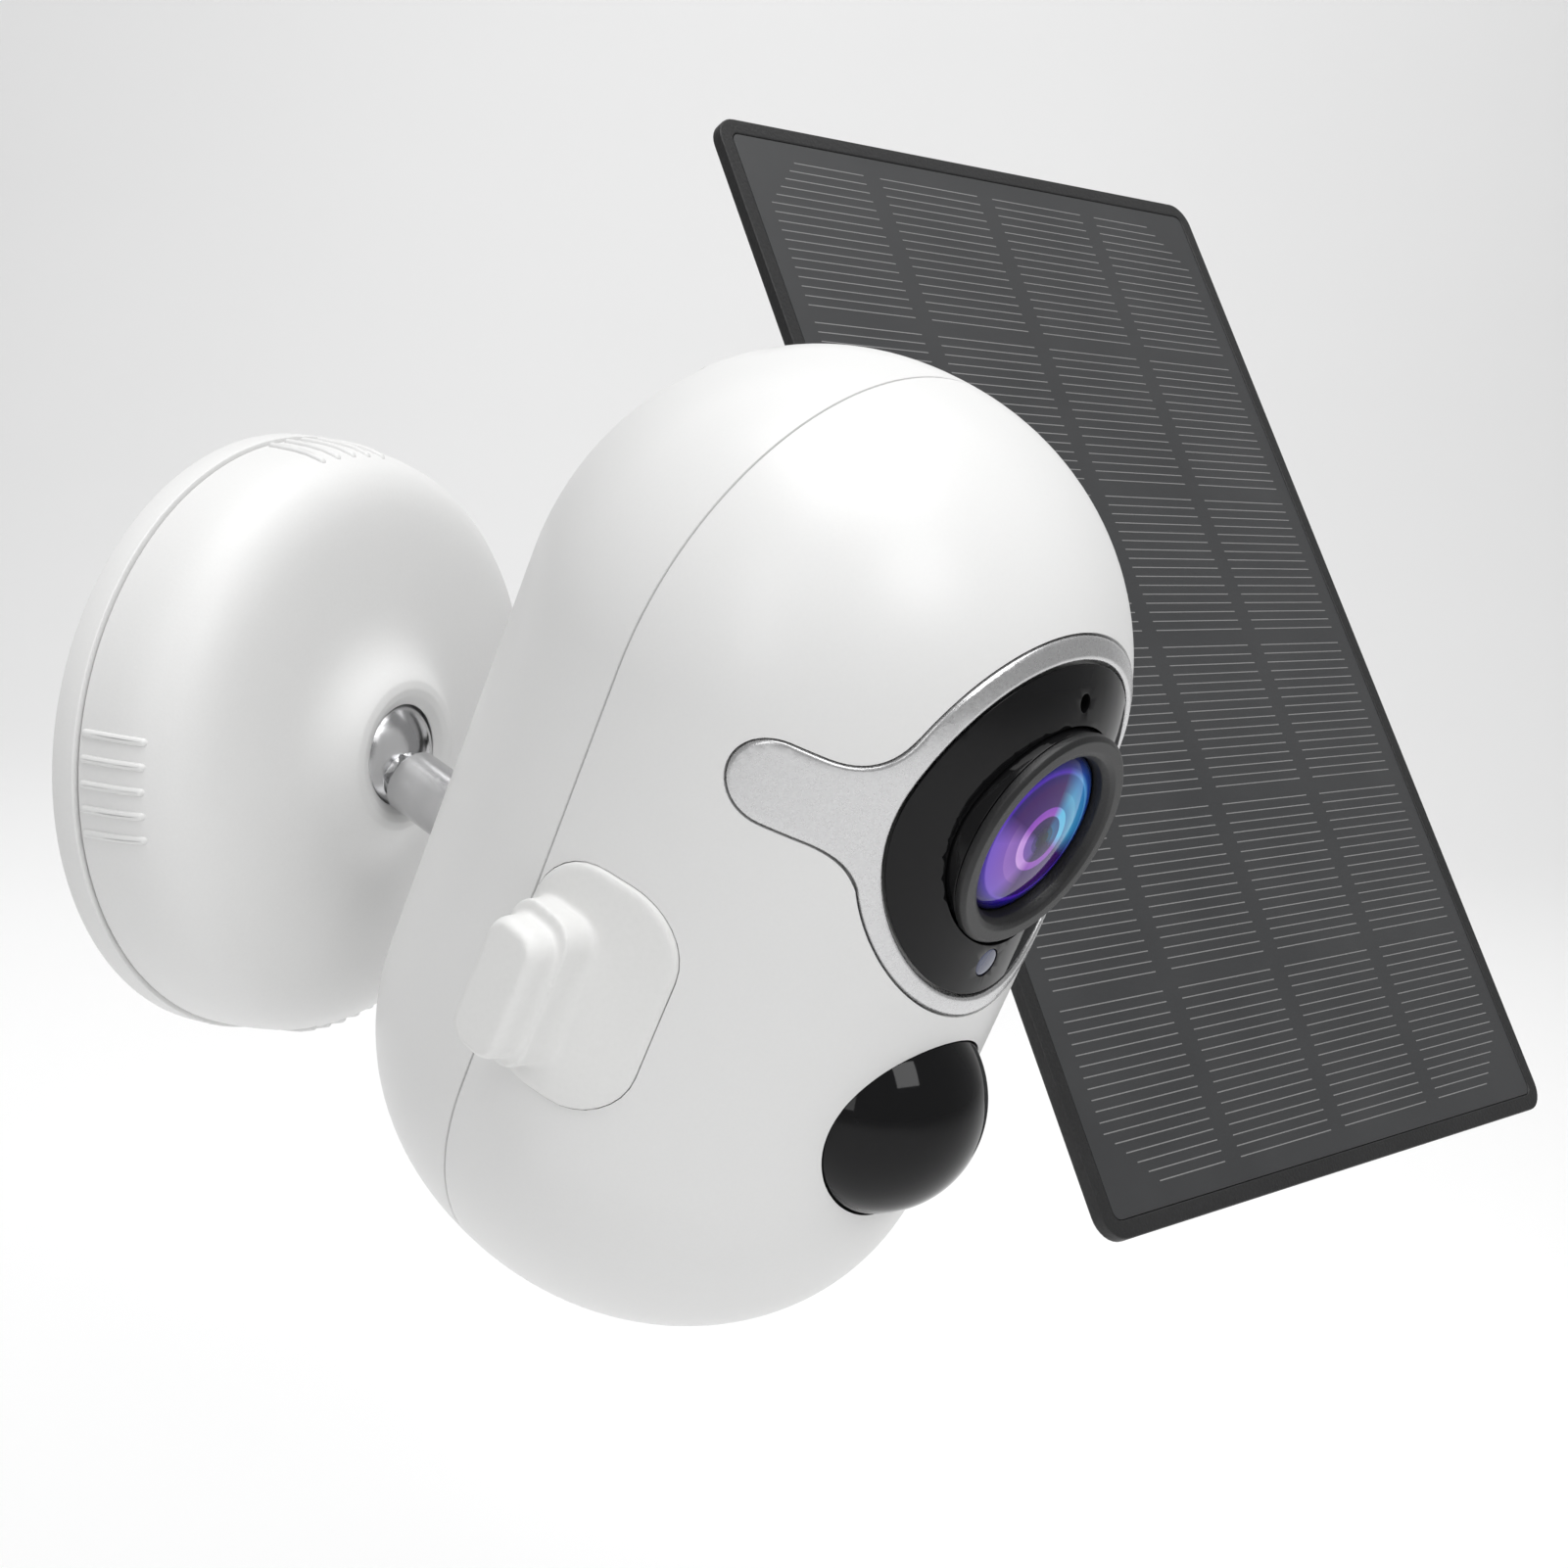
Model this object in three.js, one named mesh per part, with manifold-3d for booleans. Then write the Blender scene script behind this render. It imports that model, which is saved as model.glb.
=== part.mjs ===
// Solar-powered security camera on a wall ball mount, with its own solar panel on a second wall bracket.
// Millimetres. World origin: centre of the camera base's wall face. -Y points out of the wall, +Z is up.
import * as THREE from "three";
import { mergeVertices } from "three/addons/utils/BufferGeometryUtils.js";
import Module from "manifold-3d";

const wasm = await Module();
wasm.setup();

// ---- Driving dimensions ----
const GAP = 0.3;

// Camera wall base
const BASE_R = 37.5;
const BASE_PLATE_T = 3.3;
const BASE_SEGS = 30;
const BALL_R = 8.0;
const BALL_OUT = 15.0;
const SEAT_R = BALL_R + 0.25;
const MOUTH_R = 6.2;
const RIB_COUNT = 5;
const RIB_PITCH = 3.1;
const RIB_GROUPS = 4;
const WALL_SCREW_R = 2.2;
const WALL_SCREW_CIRCLE_R = 22;

// Camera aim: yaw towards -X, pitch down, roll
const AIM_YAW = THREE.MathUtils.degToRad(10.69);
const AIM_PITCH = THREE.MathUtils.degToRad(20.9);
const AIM_ROLL = THREE.MathUtils.degToRad(2.74);
const STUD_PITCH = THREE.MathUtils.degToRad(17.0);

// Ball stud, measured along its own axis from the ball centre
const NECK_R = 2.9;
const SLEEVE_R = 4.0;
const SLEEVE_START = 8.6;
const SLEEVE_END = 24.2;
const THREAD_R = 3.0;
const THREAD_END = 35.0;

// Camera head: two lobes, one above the other, joined by a hull. z is forward from the ball centre, y is up.
const SEAM_Z = 56.76;
const TOP_LOBE = { y: 44.23, r: 31.79 };
const LOW_LOBE = { y: -4.65, r: 29.75 };
const FRONT_DEPTH_TOP = 32.26;
const FRONT_DEPTH_LOW = 34.16;
const REAR_DEPTH = 31.2;
const FRONT_POWER = 2.0;
const REAR_POWER = 2.17;
const WALL_T = 2.2;

// Lens face
const LENS_Y = 41.26;
const RING_R = 11.94;
const RING_FRONT = 89.5;
const GLASS_R = 9.0;
const PLATE_R = 17.8;
const PLATE_INSET = 0.4;
const PLATE_BACK = 80.4;
const TRIM_R = 20.2;
const TRIM_T = 1.0;
const EAR_Y = 40.4;
const EAR_HALF = 4.25;
const EAR_TIP_Z = 74.8;
const SENSOR_Y = 27.1;
const SENSOR_R = 1.4;
const MIC_Y = 55.5;
const MIC_R = 0.9;

// Motion sensor dome
const PIR_Y = 6.98;
const PIR_Z = 84.62;
const PIR_R = 11.93;

// Port bay on the -X side: u runs along the head's height, s along its depth
const PAD = { u: 11.8, s: 65.3, lu: 25.2, ls: 16.7, r: 7.0 };
const PAD_PROUD = 0.7;
const PAD_SUNK = 1.2;
const BLOCK = { u: 10.4, s: 61.7, lu: 17.2, ls: 8.2, r: 2.2 };
const BLOCK_X = -34.0;
const CAP = { u: 10.1, s: 61.5, lu: 14.8, ls: 7.0, r: 1.8 };
const CAP_X = -37.4;
const BAY = { u: 12.5, s: 65.0, lu: 16.0, ls: 9.0, r: 2.2 };
const BAY_FLOOR_X = -20.0;
const BAY_FLOOR_T = 1.5;
const USB = { u: 9.8, s: 63.2, lu: 9.2, ls: 3.4, r: 1.6 };
const CARD = { u: 10.9, s: 67.3, lu: 11.8, ls: 2.2, r: 0.3 };
const RESET = { u: 17.8, s: 63.2, r: 1.1 };
const POWER = { u: 18.5, s: 67.3, r: 1.4 };

// Shell screws
const SCREWS = [[-12, 64], [12, 64], [-13, -21], [13, -21]];
const SCREW_FLOOR_Z = 46.5;

// Battery cells (18650 size)
const CELL_R = 9.15;
const CELL_L = 65.0;
const CELL_X = 9.7;
const CELL_Z = 45.8;
const CELL_Y0 = -13.4;

// Solar panel
const PANEL_L = 170.0;
const PANEL_W = 116.3;
const PANEL_CORNER_R = 4.0;
const PANEL_LIP = 2.5;
const PANEL_LEDGE = 4.5;
const PANEL_EDGE_T = 1.8;
const PANEL_TAPER = 2.8;
const BACK_INSET = 4.8;
const FRAME_T = 3.8;
const PANEL_YAW = THREE.MathUtils.degToRad(16.3);
const PANEL_PITCH = THREE.MathUtils.degToRad(-32.83);
const PANEL_ROLL = THREE.MathUtils.degToRad(0.38);
const PANEL_CENTRE = new THREE.Vector3(117.0, -74.0, 14.3);
const PANEL_BALL_BACK = 23.0;
const BACK_T = 1.6;

// Panel bracket
const POST_R = 6.0;
const LOCK_R = 11.5;
const BRACKET_R = 26.0;
const MOUTH2_R = 7.15;

// ---- Materials ----
const paint = (color, roughness = 0.5, metalness = 0) =>
  new THREE.MeshStandardMaterial({ color, roughness, metalness });
const M = {
  shellWhite: paint(0xf2f2f0, 0.42),
  baseWhite: paint(0xececea, 0.55),
  silicone: paint(0xf0f0ee, 0.7),
  silver: paint(0xc4c6c8, 0.35, 0.9),
  blackGloss: paint(0x0c0c0e, 0.12),
  blackSatin: paint(0x1b1b1c, 0.5),
  lensGlass: paint(0x2a1b6e, 0.05),
  filterGlass: paint(0x8fc7c4, 0.1),
  sensorBlue: paint(0x3b4165, 0.3),
  steel: paint(0xb9babc, 0.25, 1),
  brass: paint(0xc09a4a, 0.35, 1),
  board: paint(0x1f5a36, 0.5),
  chip: paint(0x202124, 0.5),
  cellWrap: paint(0x2f6fae, 0.4),
  grey: paint(0x8a8c90, 0.5),
  rubber: paint(0x2b2b2b, 0.85),
  frameBlack: paint(0x232325, 0.6),
  cellDark: paint(0x2c2e31, 0.35),
  panelGlass: paint(0x34373b, 0.15),
};

// ---- Shape helpers: every helper returns a closed solid ----
function signedVolume(p, idx) {
  let v = 0;
  const a = new THREE.Vector3();
  const b = new THREE.Vector3();
  const c = new THREE.Vector3();
  for (let i = 0; i < idx.length; i += 3) {
    a.fromArray(p, idx[i] * 3);
    b.fromArray(p, idx[i + 1] * 3);
    c.fromArray(p, idx[i + 2] * 3);
    v += a.dot(b.cross(c));
  }
  return v;
}

function solid(geometry) {
  const g = geometry.clone();
  g.deleteAttribute("normal");
  g.deleteAttribute("uv");
  const merged = mergeVertices(g, 1e-4);
  const p = merged.attributes.position.array;
  const raw = merged.index.array;
  const tris = [];
  for (let i = 0; i < raw.length; i += 3) {
    const [a, b, c] = [raw[i], raw[i + 1], raw[i + 2]];
    if (a !== b && b !== c && a !== c) {
      tris.push(a, b, c);
    }
  }
  if (signedVolume(p, tris) < 0) {
    tris.reverse();
  }
  const mesh = new wasm.Mesh({
    numProp: 3,
    vertProperties: new Float32Array(p),
    triVerts: new Uint32Array(tris),
  });
  return new wasm.Manifold(mesh);
}

function moved(geometry, x, y, z) {
  return geometry.translate(x, y, z);
}

// A cylinder along z
function rod(r, z0, z1, x = 0, y = 0, segs = 16) {
  const g = new THREE.CylinderGeometry(r, r, z1 - z0, segs);
  g.rotateX(Math.PI / 2);
  return solid(moved(g, x, y, (z0 + z1) / 2));
}

// A cylinder along x
function rodX(r, x0, x1, y, z, segs = 14) {
  const g = new THREE.CylinderGeometry(r, r, x1 - x0, segs);
  g.rotateZ(Math.PI / 2);
  return solid(moved(g, (x0 + x1) / 2, y, z));
}

// A cylinder along y
function rodY(r, y0, y1, x, z, segs = 20) {
  const g = new THREE.CylinderGeometry(r, r, y1 - y0, segs);
  return solid(moved(g, x, (y0 + y1) / 2, z));
}

function ball(r, x, y, z, segs = 20) {
  return solid(moved(new THREE.SphereGeometry(r, segs, segs / 2), x, y, z));
}

function box(x0, x1, y0, y1, z0, z1) {
  const g = new THREE.BoxGeometry(x1 - x0, y1 - y0, z1 - z0);
  return solid(moved(g, (x0 + x1) / 2, (y0 + y1) / 2, (z0 + z1) / 2));
}

// A turned solid about z from a closed [radius, z] outline
function turned(outline, segs = 28, closed = false) {
  const pts = outline.map(([r, z]) => new THREE.Vector2(r, z));
  if (closed) {
    pts.push(pts[0].clone());
  }
  const g = new THREE.LatheGeometry(pts, segs);
  g.rotateX(Math.PI / 2);
  return solid(g);
}

function roundRect(cx, cy, w, h, r) {
  const s = new THREE.Shape();
  const [x0, x1, y0, y1] = [cx - w / 2, cx + w / 2, cy - h / 2, cy + h / 2];
  s.moveTo(x0 + r, y0);
  s.lineTo(x1 - r, y0);
  s.absarc(x1 - r, y0 + r, r, -Math.PI / 2, 0);
  s.lineTo(x1, y1 - r);
  s.absarc(x1 - r, y1 - r, r, 0, Math.PI / 2);
  s.lineTo(x0 + r, y1);
  s.absarc(x0 + r, y1 - r, r, Math.PI / 2, Math.PI);
  s.lineTo(x0, y0 + r);
  s.absarc(x0 + r, y0 + r, r, Math.PI, Math.PI * 1.5);
  return s;
}

function slabGeometry(shape, z0, z1, curveSegments) {
  const g = new THREE.ExtrudeGeometry(shape, {
    depth: z1 - z0,
    steps: 1,
    curveSegments,
    bevelEnabled: false,
  });
  return g.translate(0, 0, z0);
}

// A prism along z
function slab(shape, z0, z1, curveSegments = 4) {
  return solid(slabGeometry(shape, z0, z1, curveSegments));
}

// A prism along x whose outline is drawn in (y, z)
const TO_X = new THREE.Matrix4().makeBasis(
  new THREE.Vector3(0, 1, 0),
  new THREE.Vector3(0, 0, 1),
  new THREE.Vector3(1, 0, 0),
);
function slabX(shape, x0, x1, curveSegments = 4) {
  return solid(slabGeometry(shape, x0, x1, curveSegments).applyMatrix4(TO_X));
}

function portShape(d, margin = 0) {
  return roundRect(d.u, d.s, d.lu + 2 * margin, d.ls + 2 * margin, d.r + margin);
}

function joined(solids) {
  return solids.reduce((a, b) => a.add(b));
}

function cut(body, tools) {
  return tools.reduce((a, b) => a.subtract(b), body);
}

function transformed(body, matrix) {
  return solid(toGeometry(body).applyMatrix4(matrix));
}

function toGeometry(body) {
  const m = body.getMesh();
  const g = new THREE.BufferGeometry();
  g.setAttribute("position", new THREE.BufferAttribute(new Float32Array(m.vertProperties), 3));
  g.setIndex(new THREE.BufferAttribute(new Uint32Array(m.triVerts), 1));
  return g;
}

// ---- Frames: z of each local frame is the direction the piece faces ----
function facing(yaw, pitch, roll, origin) {
  const m = new THREE.Matrix4().makeTranslation(origin.x, origin.y, origin.z);
  m.multiply(new THREE.Matrix4().makeRotationZ(-yaw));
  m.multiply(new THREE.Matrix4().makeRotationX(pitch));
  m.multiply(new THREE.Matrix4().makeRotationY(roll));
  m.multiply(new THREE.Matrix4().makeRotationX(Math.PI / 2));
  return m;
}

const BALL_CENTRE = new THREE.Vector3(0, -BALL_OUT, 0);
const BASE = facing(0, 0, 0, new THREE.Vector3());
const HEAD = facing(AIM_YAW, AIM_PITCH, AIM_ROLL, BALL_CENTRE);
const STUD = facing(AIM_YAW, STUD_PITCH, AIM_ROLL, BALL_CENTRE);
const STUD_IN_HEAD = HEAD.clone().invert().multiply(STUD);
const PANEL = facing(PANEL_YAW, PANEL_PITCH, PANEL_ROLL, PANEL_CENTRE);
const PANEL_BALL = new THREE.Vector3(0, 0, -PANEL_BALL_BACK).applyMatrix4(PANEL);
const BRACKET = facing(0, 0, 0, new THREE.Vector3(PANEL_BALL.x, 0, PANEL_BALL.z));
const BRACKET_BALL_OUT = -PANEL_BALL.y;

const part = new THREE.Group();
part.name = "solar_security_camera";

function place(name, body, material, matrix) {
  const geometry = toGeometry(body).applyMatrix4(matrix);
  geometry.computeVertexNormals();
  const mesh = new THREE.Mesh(geometry, material);
  mesh.name = name;
  part.add(mesh);
}

// ---- Head form: hull of an upper and a lower lobe on one side of the seam plane ----
function lobePoint(n, y, r, depth, power) {
  const q = power / (power - 1);
  const nr = Math.hypot(n.x, n.y);
  const h = ((r * nr) ** q + (depth * n.z) ** q) ** (1 / q);
  const rho = r * ((r * nr) / h) ** (q - 1);
  const z = depth * ((depth * n.z) / h) ** (q - 1);
  const k = nr > 1e-9 ? rho / nr : 0;
  return { reach: y * n.y + h, point: [k * n.x, y + k * n.y, z] };
}

function headHalf(front, inset, skirt = 0, cols = 12, rows = 6) {
  const power = front ? FRONT_POWER : REAR_POWER;
  const depthTop = (front ? FRONT_DEPTH_TOP : REAR_DEPTH) - inset;
  const depthLow = (front ? FRONT_DEPTH_LOW : REAR_DEPTH) - inset;
  const top = (n) => lobePoint(n, TOP_LOBE.y, TOP_LOBE.r - inset, depthTop, power);
  const low = (n) => lobePoint(n, LOW_LOBE.y, LOW_LOBE.r - inset, depthLow, power);
  const balance = (n) => top(n).reach - low(n).reach;
  const root = (f, a, b) => {
    for (let i = 0; i < 50; i += 1) {
      const mid = (a + b) / 2;
      if (f(mid) > 0) {
        b = mid;
      } else {
        a = mid;
      }
    }
    return (a + b) / 2;
  };
  const ridge = root((e) => balance(new THREE.Vector3(0, Math.sin(e), Math.cos(e))), -0.5, 0.5);
  const pole = new THREE.Vector3(0, Math.sin(ridge), Math.cos(ridge));
  const normal = (a, b) => new THREE.Vector3(Math.cos(a), Math.sin(a), 0)
    .multiplyScalar(Math.cos(b))
    .addScaledVector(pole, Math.sin(b))
    .normalize();
  const side = front ? 1 : -1;
  const rings = [];
  for (let j = 0; j <= rows; j += 1) {
    const b = (j / rows) * (Math.PI / 2);
    const a0 = j === rows ? 0 : root((a) => balance(normal(a, b)), -0.5, 0.5);
    const ring = [];
    for (let i = 0; i <= cols; i += 1) {
      ring.push(top(normal(a0 + ((Math.PI - 2 * a0) * i) / cols, b)).point);
    }
    for (let i = 0; i <= cols; i += 1) {
      ring.push(low(normal(Math.PI - a0 + ((Math.PI + 2 * a0) * i) / cols, b)).point);
    }
    rings.push(ring);
  }
  rings[0].forEach((p) => {
    p[2] = 0;
  });
  if (skirt > 0) {
    rings.unshift(rings[0].map(([x, y]) => [x, y, -skirt]));
  }
  const positions = rings.flat().map(([x, y, z]) => [x, y, SEAM_Z + side * z]).flat();
  const n = rings[0].length;
  const index = [];
  for (let j = 0; j < rings.length - 1; j += 1) {
    for (let i = 0; i < n; i += 1) {
      const [a, b] = [j * n + i, j * n + ((i + 1) % n)];
      index.push(a, b, b + n, a, b + n, a + n);
    }
  }
  const hub = positions.length / 3;
  positions.push(0, (TOP_LOBE.y + LOW_LOBE.y) / 2, SEAM_Z - side * skirt);
  for (let i = 0; i < n; i += 1) {
    index.push(hub, (i + 1) % n, i);
  }
  const g = new THREE.BufferGeometry();
  g.setAttribute("position", new THREE.BufferAttribute(new Float32Array(positions), 3));
  g.setIndex(index);
  return solid(g);
}

function headWhole(inset) {
  return headHalf(true, inset, 0.2).add(headHalf(false, inset, 0.2));
}

// Flat prism of the seam outline
function seamSlab(inset, z0, z1) {
  const shape = new THREE.Shape();
  const [rt, rl] = [TOP_LOBE.r - inset, LOW_LOBE.r - inset];
  const lean = Math.asin((LOW_LOBE.r - TOP_LOBE.r) / (TOP_LOBE.y - LOW_LOBE.y));
  shape.absarc(0, TOP_LOBE.y, rt, lean, Math.PI - lean);
  shape.absarc(0, LOW_LOBE.y, rl, Math.PI - lean, Math.PI * 2 + lean);
  return slab(shape, z0, z1, 8);
}

// Silver trim outline: a ring round the lens face with an ear on each side that wraps round the head
function earShape(sign, margin) {
  const s = new THREE.Shape();
  const [top, low] = [EAR_Y + EAR_HALF + margin, EAR_Y - EAR_HALF - margin];
  s.moveTo(sign * 14, 49.6 + margin);
  s.lineTo(sign * (18.4 + margin), 49.6 + margin);
  s.quadraticCurveTo(sign * (20.4 + margin), top, sign * 24.2, top);
  s.lineTo(sign * 36, top);
  s.lineTo(sign * 36, low);
  s.lineTo(sign * 23.6, low);
  s.quadraticCurveTo(sign * (20.3 + margin), low, sign * (18.6 + margin), 33.4 - margin);
  s.lineTo(sign * 14, 33.4 - margin);
  s.closePath();
  return s;
}

function trimPrism(margin) {
  const [z0, z1] = [66, 96];
  const ring = rod(TRIM_R + margin, z0, z1, 0, LENS_Y, 32);
  const ears = slab(earShape(-1, margin), z0, z1).add(slab(earShape(1, margin), z0, z1));
  const half = EAR_HALF + margin;
  const tip = new THREE.Shape();
  tip.absarc(EAR_Y, EAR_TIP_Z, half, Math.PI, Math.PI * 2);
  tip.lineTo(EAR_Y + half, 100);
  tip.lineTo(EAR_Y - half, 100);
  tip.closePath();
  const limit = slabX(tip, -40, 40, 6).add(box(-40, 40, 10, 75, 79.3, 100));
  return ring.add(ears).intersect(limit);
}

// ---- Camera wall base ----
function buildBase() {
  const plate = turned([
    [0, 0], [BASE_R - 0.4, 0], [BASE_R, 0.4], [BASE_R, BASE_PLATE_T], [33.2, BASE_PLATE_T],
    [33.2, 8.5], [31.4, 8.5], [31.4, BASE_PLATE_T], [10.4, BASE_PLATE_T], [10.4, 4.4], [0, 4.4],
  ], BASE_SEGS);
  const screwHoles = [];
  for (let i = 0; i < 3; i += 1) {
    const a = Math.PI / 2 + (i * Math.PI * 2) / 3;
    const [x, y] = [WALL_SCREW_CIRCLE_R * Math.cos(a), WALL_SCREW_CIRCLE_R * Math.sin(a)];
    screwHoles.push(rod(WALL_SCREW_R, -1, 6, x, y, 12));
    screwHoles.push(rod(WALL_SCREW_R * 1.9, 2.1, 6, x, y, 12));
  }
  const plateNotches = [];
  for (let i = 0; i < 3; i += 1) {
    const a = (i * Math.PI * 2) / 3;
    const g = new THREE.BoxGeometry(6, 9, 3);
    g.translate(32.5, 0, 7.6);
    g.rotateZ(a);
    plateNotches.push(solid(g));
  }
  place("base_back_plate", cut(plate, [...screwHoles, ...plateNotches]), M.baseWhite, BASE);

  const seatFoot = Math.sqrt(SEAT_R ** 2 - 0.6 ** 2);
  const seatTop = BALL_OUT + Math.sqrt(SEAT_R ** 2 - MOUTH_R ** 2);
  const seat = [];
  for (let i = 0; i <= 2; i += 1) {
    const z = BALL_OUT + 0.6 + ((seatTop - BALL_OUT - 0.6) * i) / 2;
    seat.push([Math.sqrt(SEAT_R ** 2 - (z - BALL_OUT) ** 2), z]);
  }
  const z0 = BASE_PLATE_T + GAP;
  const coverOutline = [
    [37.0, z0], [36.7, 8.0], [35.9, 11.8], [33.8, 14.9], [30.0, 16.6], [24.0, 17.0], [18.0, 17.3],
    [14.2, 18.1], [11.2, 19.8], [9.4, 21.1], [8.3, 21.4], [7.3, 21.1],
    ...seat.reverse(),
    [seatFoot, 14.6], [10.9, 14.6], [10.9, 8.0], [12.6, 8.0], [12.6, 14.9], [29.5, 14.4],
    [33.6, 10.6], [34.9, z0],
  ];
  const shell = turned(coverOutline, BASE_SEGS, true);
  const ribs = [];
  for (let k = 0; k < RIB_GROUPS; k += 1) {
    for (let i = 0; i < RIB_COUNT; i += 1) {
      const a = Math.PI + (k * Math.PI * 2) / RIB_GROUPS + ((i - 2) * RIB_PITCH) / 37;
      const g = new THREE.BoxGeometry(1.6, 0.8, 8.0);
      g.rotateY(-0.1);
      g.translate(36.15, 0, 8.0);
      g.rotateZ(a);
      ribs.push(solid(g));
    }
  }
  place("base_cover", joined([shell, ...ribs]), M.baseWhite, BASE);

  place("cup_spring", turned([
    [4.6, 5.05], [9.2, 4.75], [9.2, 4.95], [4.6, 5.25],
  ], 24, true), M.steel, BASE);

  const cupBowl = [];
  for (let i = 0; i <= 4; i += 1) {
    const a = -Math.PI / 2 + 0.42 + (i / 4) * (Math.PI / 2 - 0.42 - 0.1);
    cupBowl.push([SEAT_R * Math.cos(a), BALL_OUT + SEAT_R * Math.sin(a)]);
  }
  place("ball_friction_cup", turned([
    [cupBowl[0][0], 5.6], [10.5, 5.6], [10.5, 14.1], [cupBowl[4][0], 14.1], ...cupBowl.reverse(),
  ], 20, true), M.grey, BASE);
}

// ---- Ball stud of the camera ----
function buildStud() {
  const hexNeck = solid(moved(new THREE.CylinderGeometry(NECK_R + 0.2, NECK_R + 0.2, 4, 6)
    .rotateX(Math.PI / 2), 0, 0, 7.8));
  const shank = turned([
    [0, 6.5], [NECK_R - 0.3, 6.5], [NECK_R - 0.3, SLEEVE_START], [SLEEVE_R - 0.4, SLEEVE_START],
    [SLEEVE_R, SLEEVE_START + 0.4], [SLEEVE_R, SLEEVE_END], [THREAD_R, SLEEVE_END],
    [THREAD_R, THREAD_END - 0.6], [THREAD_R - 0.6, THREAD_END], [0, THREAD_END],
  ], 18);
  place("ball_stud", joined([ball(BALL_R, 0, 0, 0, 18), hexNeck, shank]), M.steel, STUD);
}

// ---- Camera head ----
function buildShells() {
  const padPocket = headWhole(-3).subtract(headWhole(PAD_SUNK + GAP))
    .intersect(slabX(portShape(PAD, 0.25), -45, -8, 4));

  let rear = headHalf(false, 0).subtract(headHalf(false, WALL_T, 0.6, 8, 3));
  const bossOut = transformed(rod(8.6, 24.6, 40), STUD_IN_HEAD);
  const bossIn = transformed(rod(6.4, 26, 36.4), STUD_IN_HEAD);
  rear = rear.add(bossOut.intersect(headHalf(false, -1.4).subtract(headHalf(false, WALL_T)))).add(bossIn);
  const tubes = SCREWS.map(([x, y]) => rod(4.0, 20, SEAM_Z - 0.4, x, y, 8));
  rear = rear.add(joined(tubes).intersect(headHalf(false, 0.8)));
  const rearTools = [
    transformed(rod(4.95, 26.7, 38), STUD_IN_HEAD),
    transformed(rod(THREAD_R + GAP, 20, 28), STUD_IN_HEAD),
    ...SCREWS.map(([x, y]) => rod(2.9, 15, SCREW_FLOOR_Z, x, y, 10)),
    ...SCREWS.map(([x, y]) => rod(1.6, 40, 60, x, y, 8)),
    padPocket,
    box(-50, 50, -60, 100, SEAM_Z - 0.15, SEAM_Z + 5),
  ];
  place("rear_shell", cut(rear, rearTools), M.shellWhite, HEAD);

  place("stud_insert", rod(4.65, 27.0, 36.2).subtract(rod(THREAD_R + GAP, 20, 40)), M.brass, STUD);

  let front = headHalf(true, 0).subtract(headHalf(true, WALL_T, 0.6, 8, 3));
  const faceSeat = rod(22.0, PLATE_BACK - 4, 96, 0, LENS_Y, 24);
  const posts = SCREWS.map(([x, y]) => rod(3.6, SEAM_Z + 0.4, 90, x, y, 8));
  const bayBlock = slabX(portShape(BAY, 1.5), -32, BAY_FLOOR_X + BAY_FLOOR_T, 4);
  const inner = headHalf(true, 0.9);
  front = front.add(joined([faceSeat, ...posts, bayBlock]).intersect(inner));
  const portHoles = [
    slabX(portShape(USB, GAP), -24, -10, 3),
    slabX(portShape(CARD, GAP), -24, -10, 2),
    rodX(RESET.r + 0.2, -24, -10, RESET.u, RESET.s),
    rodX(POWER.r + 0.2, -24, -10, POWER.u, POWER.s),
  ];
  const grille = [];
  for (let i = -1; i <= 1; i += 1) {
    for (let j = -1; j <= 1; j += 1) {
      grille.push(rodY(0.8, -45, -24, i * 3.2, 67.5 + j * 3.2, 6));
    }
  }
  const frontTools = [
    headHalf(true, -4).subtract(headHalf(true, TRIM_T + GAP)).intersect(trimPrism(0.25)),
    rod(PLATE_R + 0.3, PLATE_BACK - GAP, 110, 0, LENS_Y, 32),
    rod(15.6, 60, 110, 0, LENS_Y, 20),
    ball(PIR_R + 0.22, 0, PIR_Y, PIR_Z, 20),
    rod(14.0, 60, 82.5, 0, PIR_Y, 20),
    ...SCREWS.map(([x, y]) => rod(1.55, 40, 67, x, y, 8)),
    padPocket,
    slabX(portShape(BAY), -60, BAY_FLOOR_X, 4),
    ...portHoles,
    ...grille,
    box(-50, 50, -60, 100, SEAM_Z - 5, SEAM_Z + 0.15),
  ];
  place("front_shell", cut(front, frontTools), M.shellWhite, HEAD);

  place("shell_seal", seamSlab(3.2, 55.5, 58.0).subtract(seamSlab(4.5, 54, 60)), M.rubber, HEAD);

  SCREWS.forEach(([x, y], i) => {
    const head = rod(2.5, SCREW_FLOOR_Z - 1.9, SCREW_FLOOR_Z - 0.1, x, y, 14);
    const drive = rod(1.1, SCREW_FLOOR_Z - 3, SCREW_FLOOR_Z - 1.0, x, y, 6);
    const shaft = rod(1.25, SCREW_FLOOR_Z - 0.5, 65.5, x, y, 8);
    place(`shell_screw_${i + 1}`, head.add(shaft).subtract(drive), M.steel, HEAD);
  });
}

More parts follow.
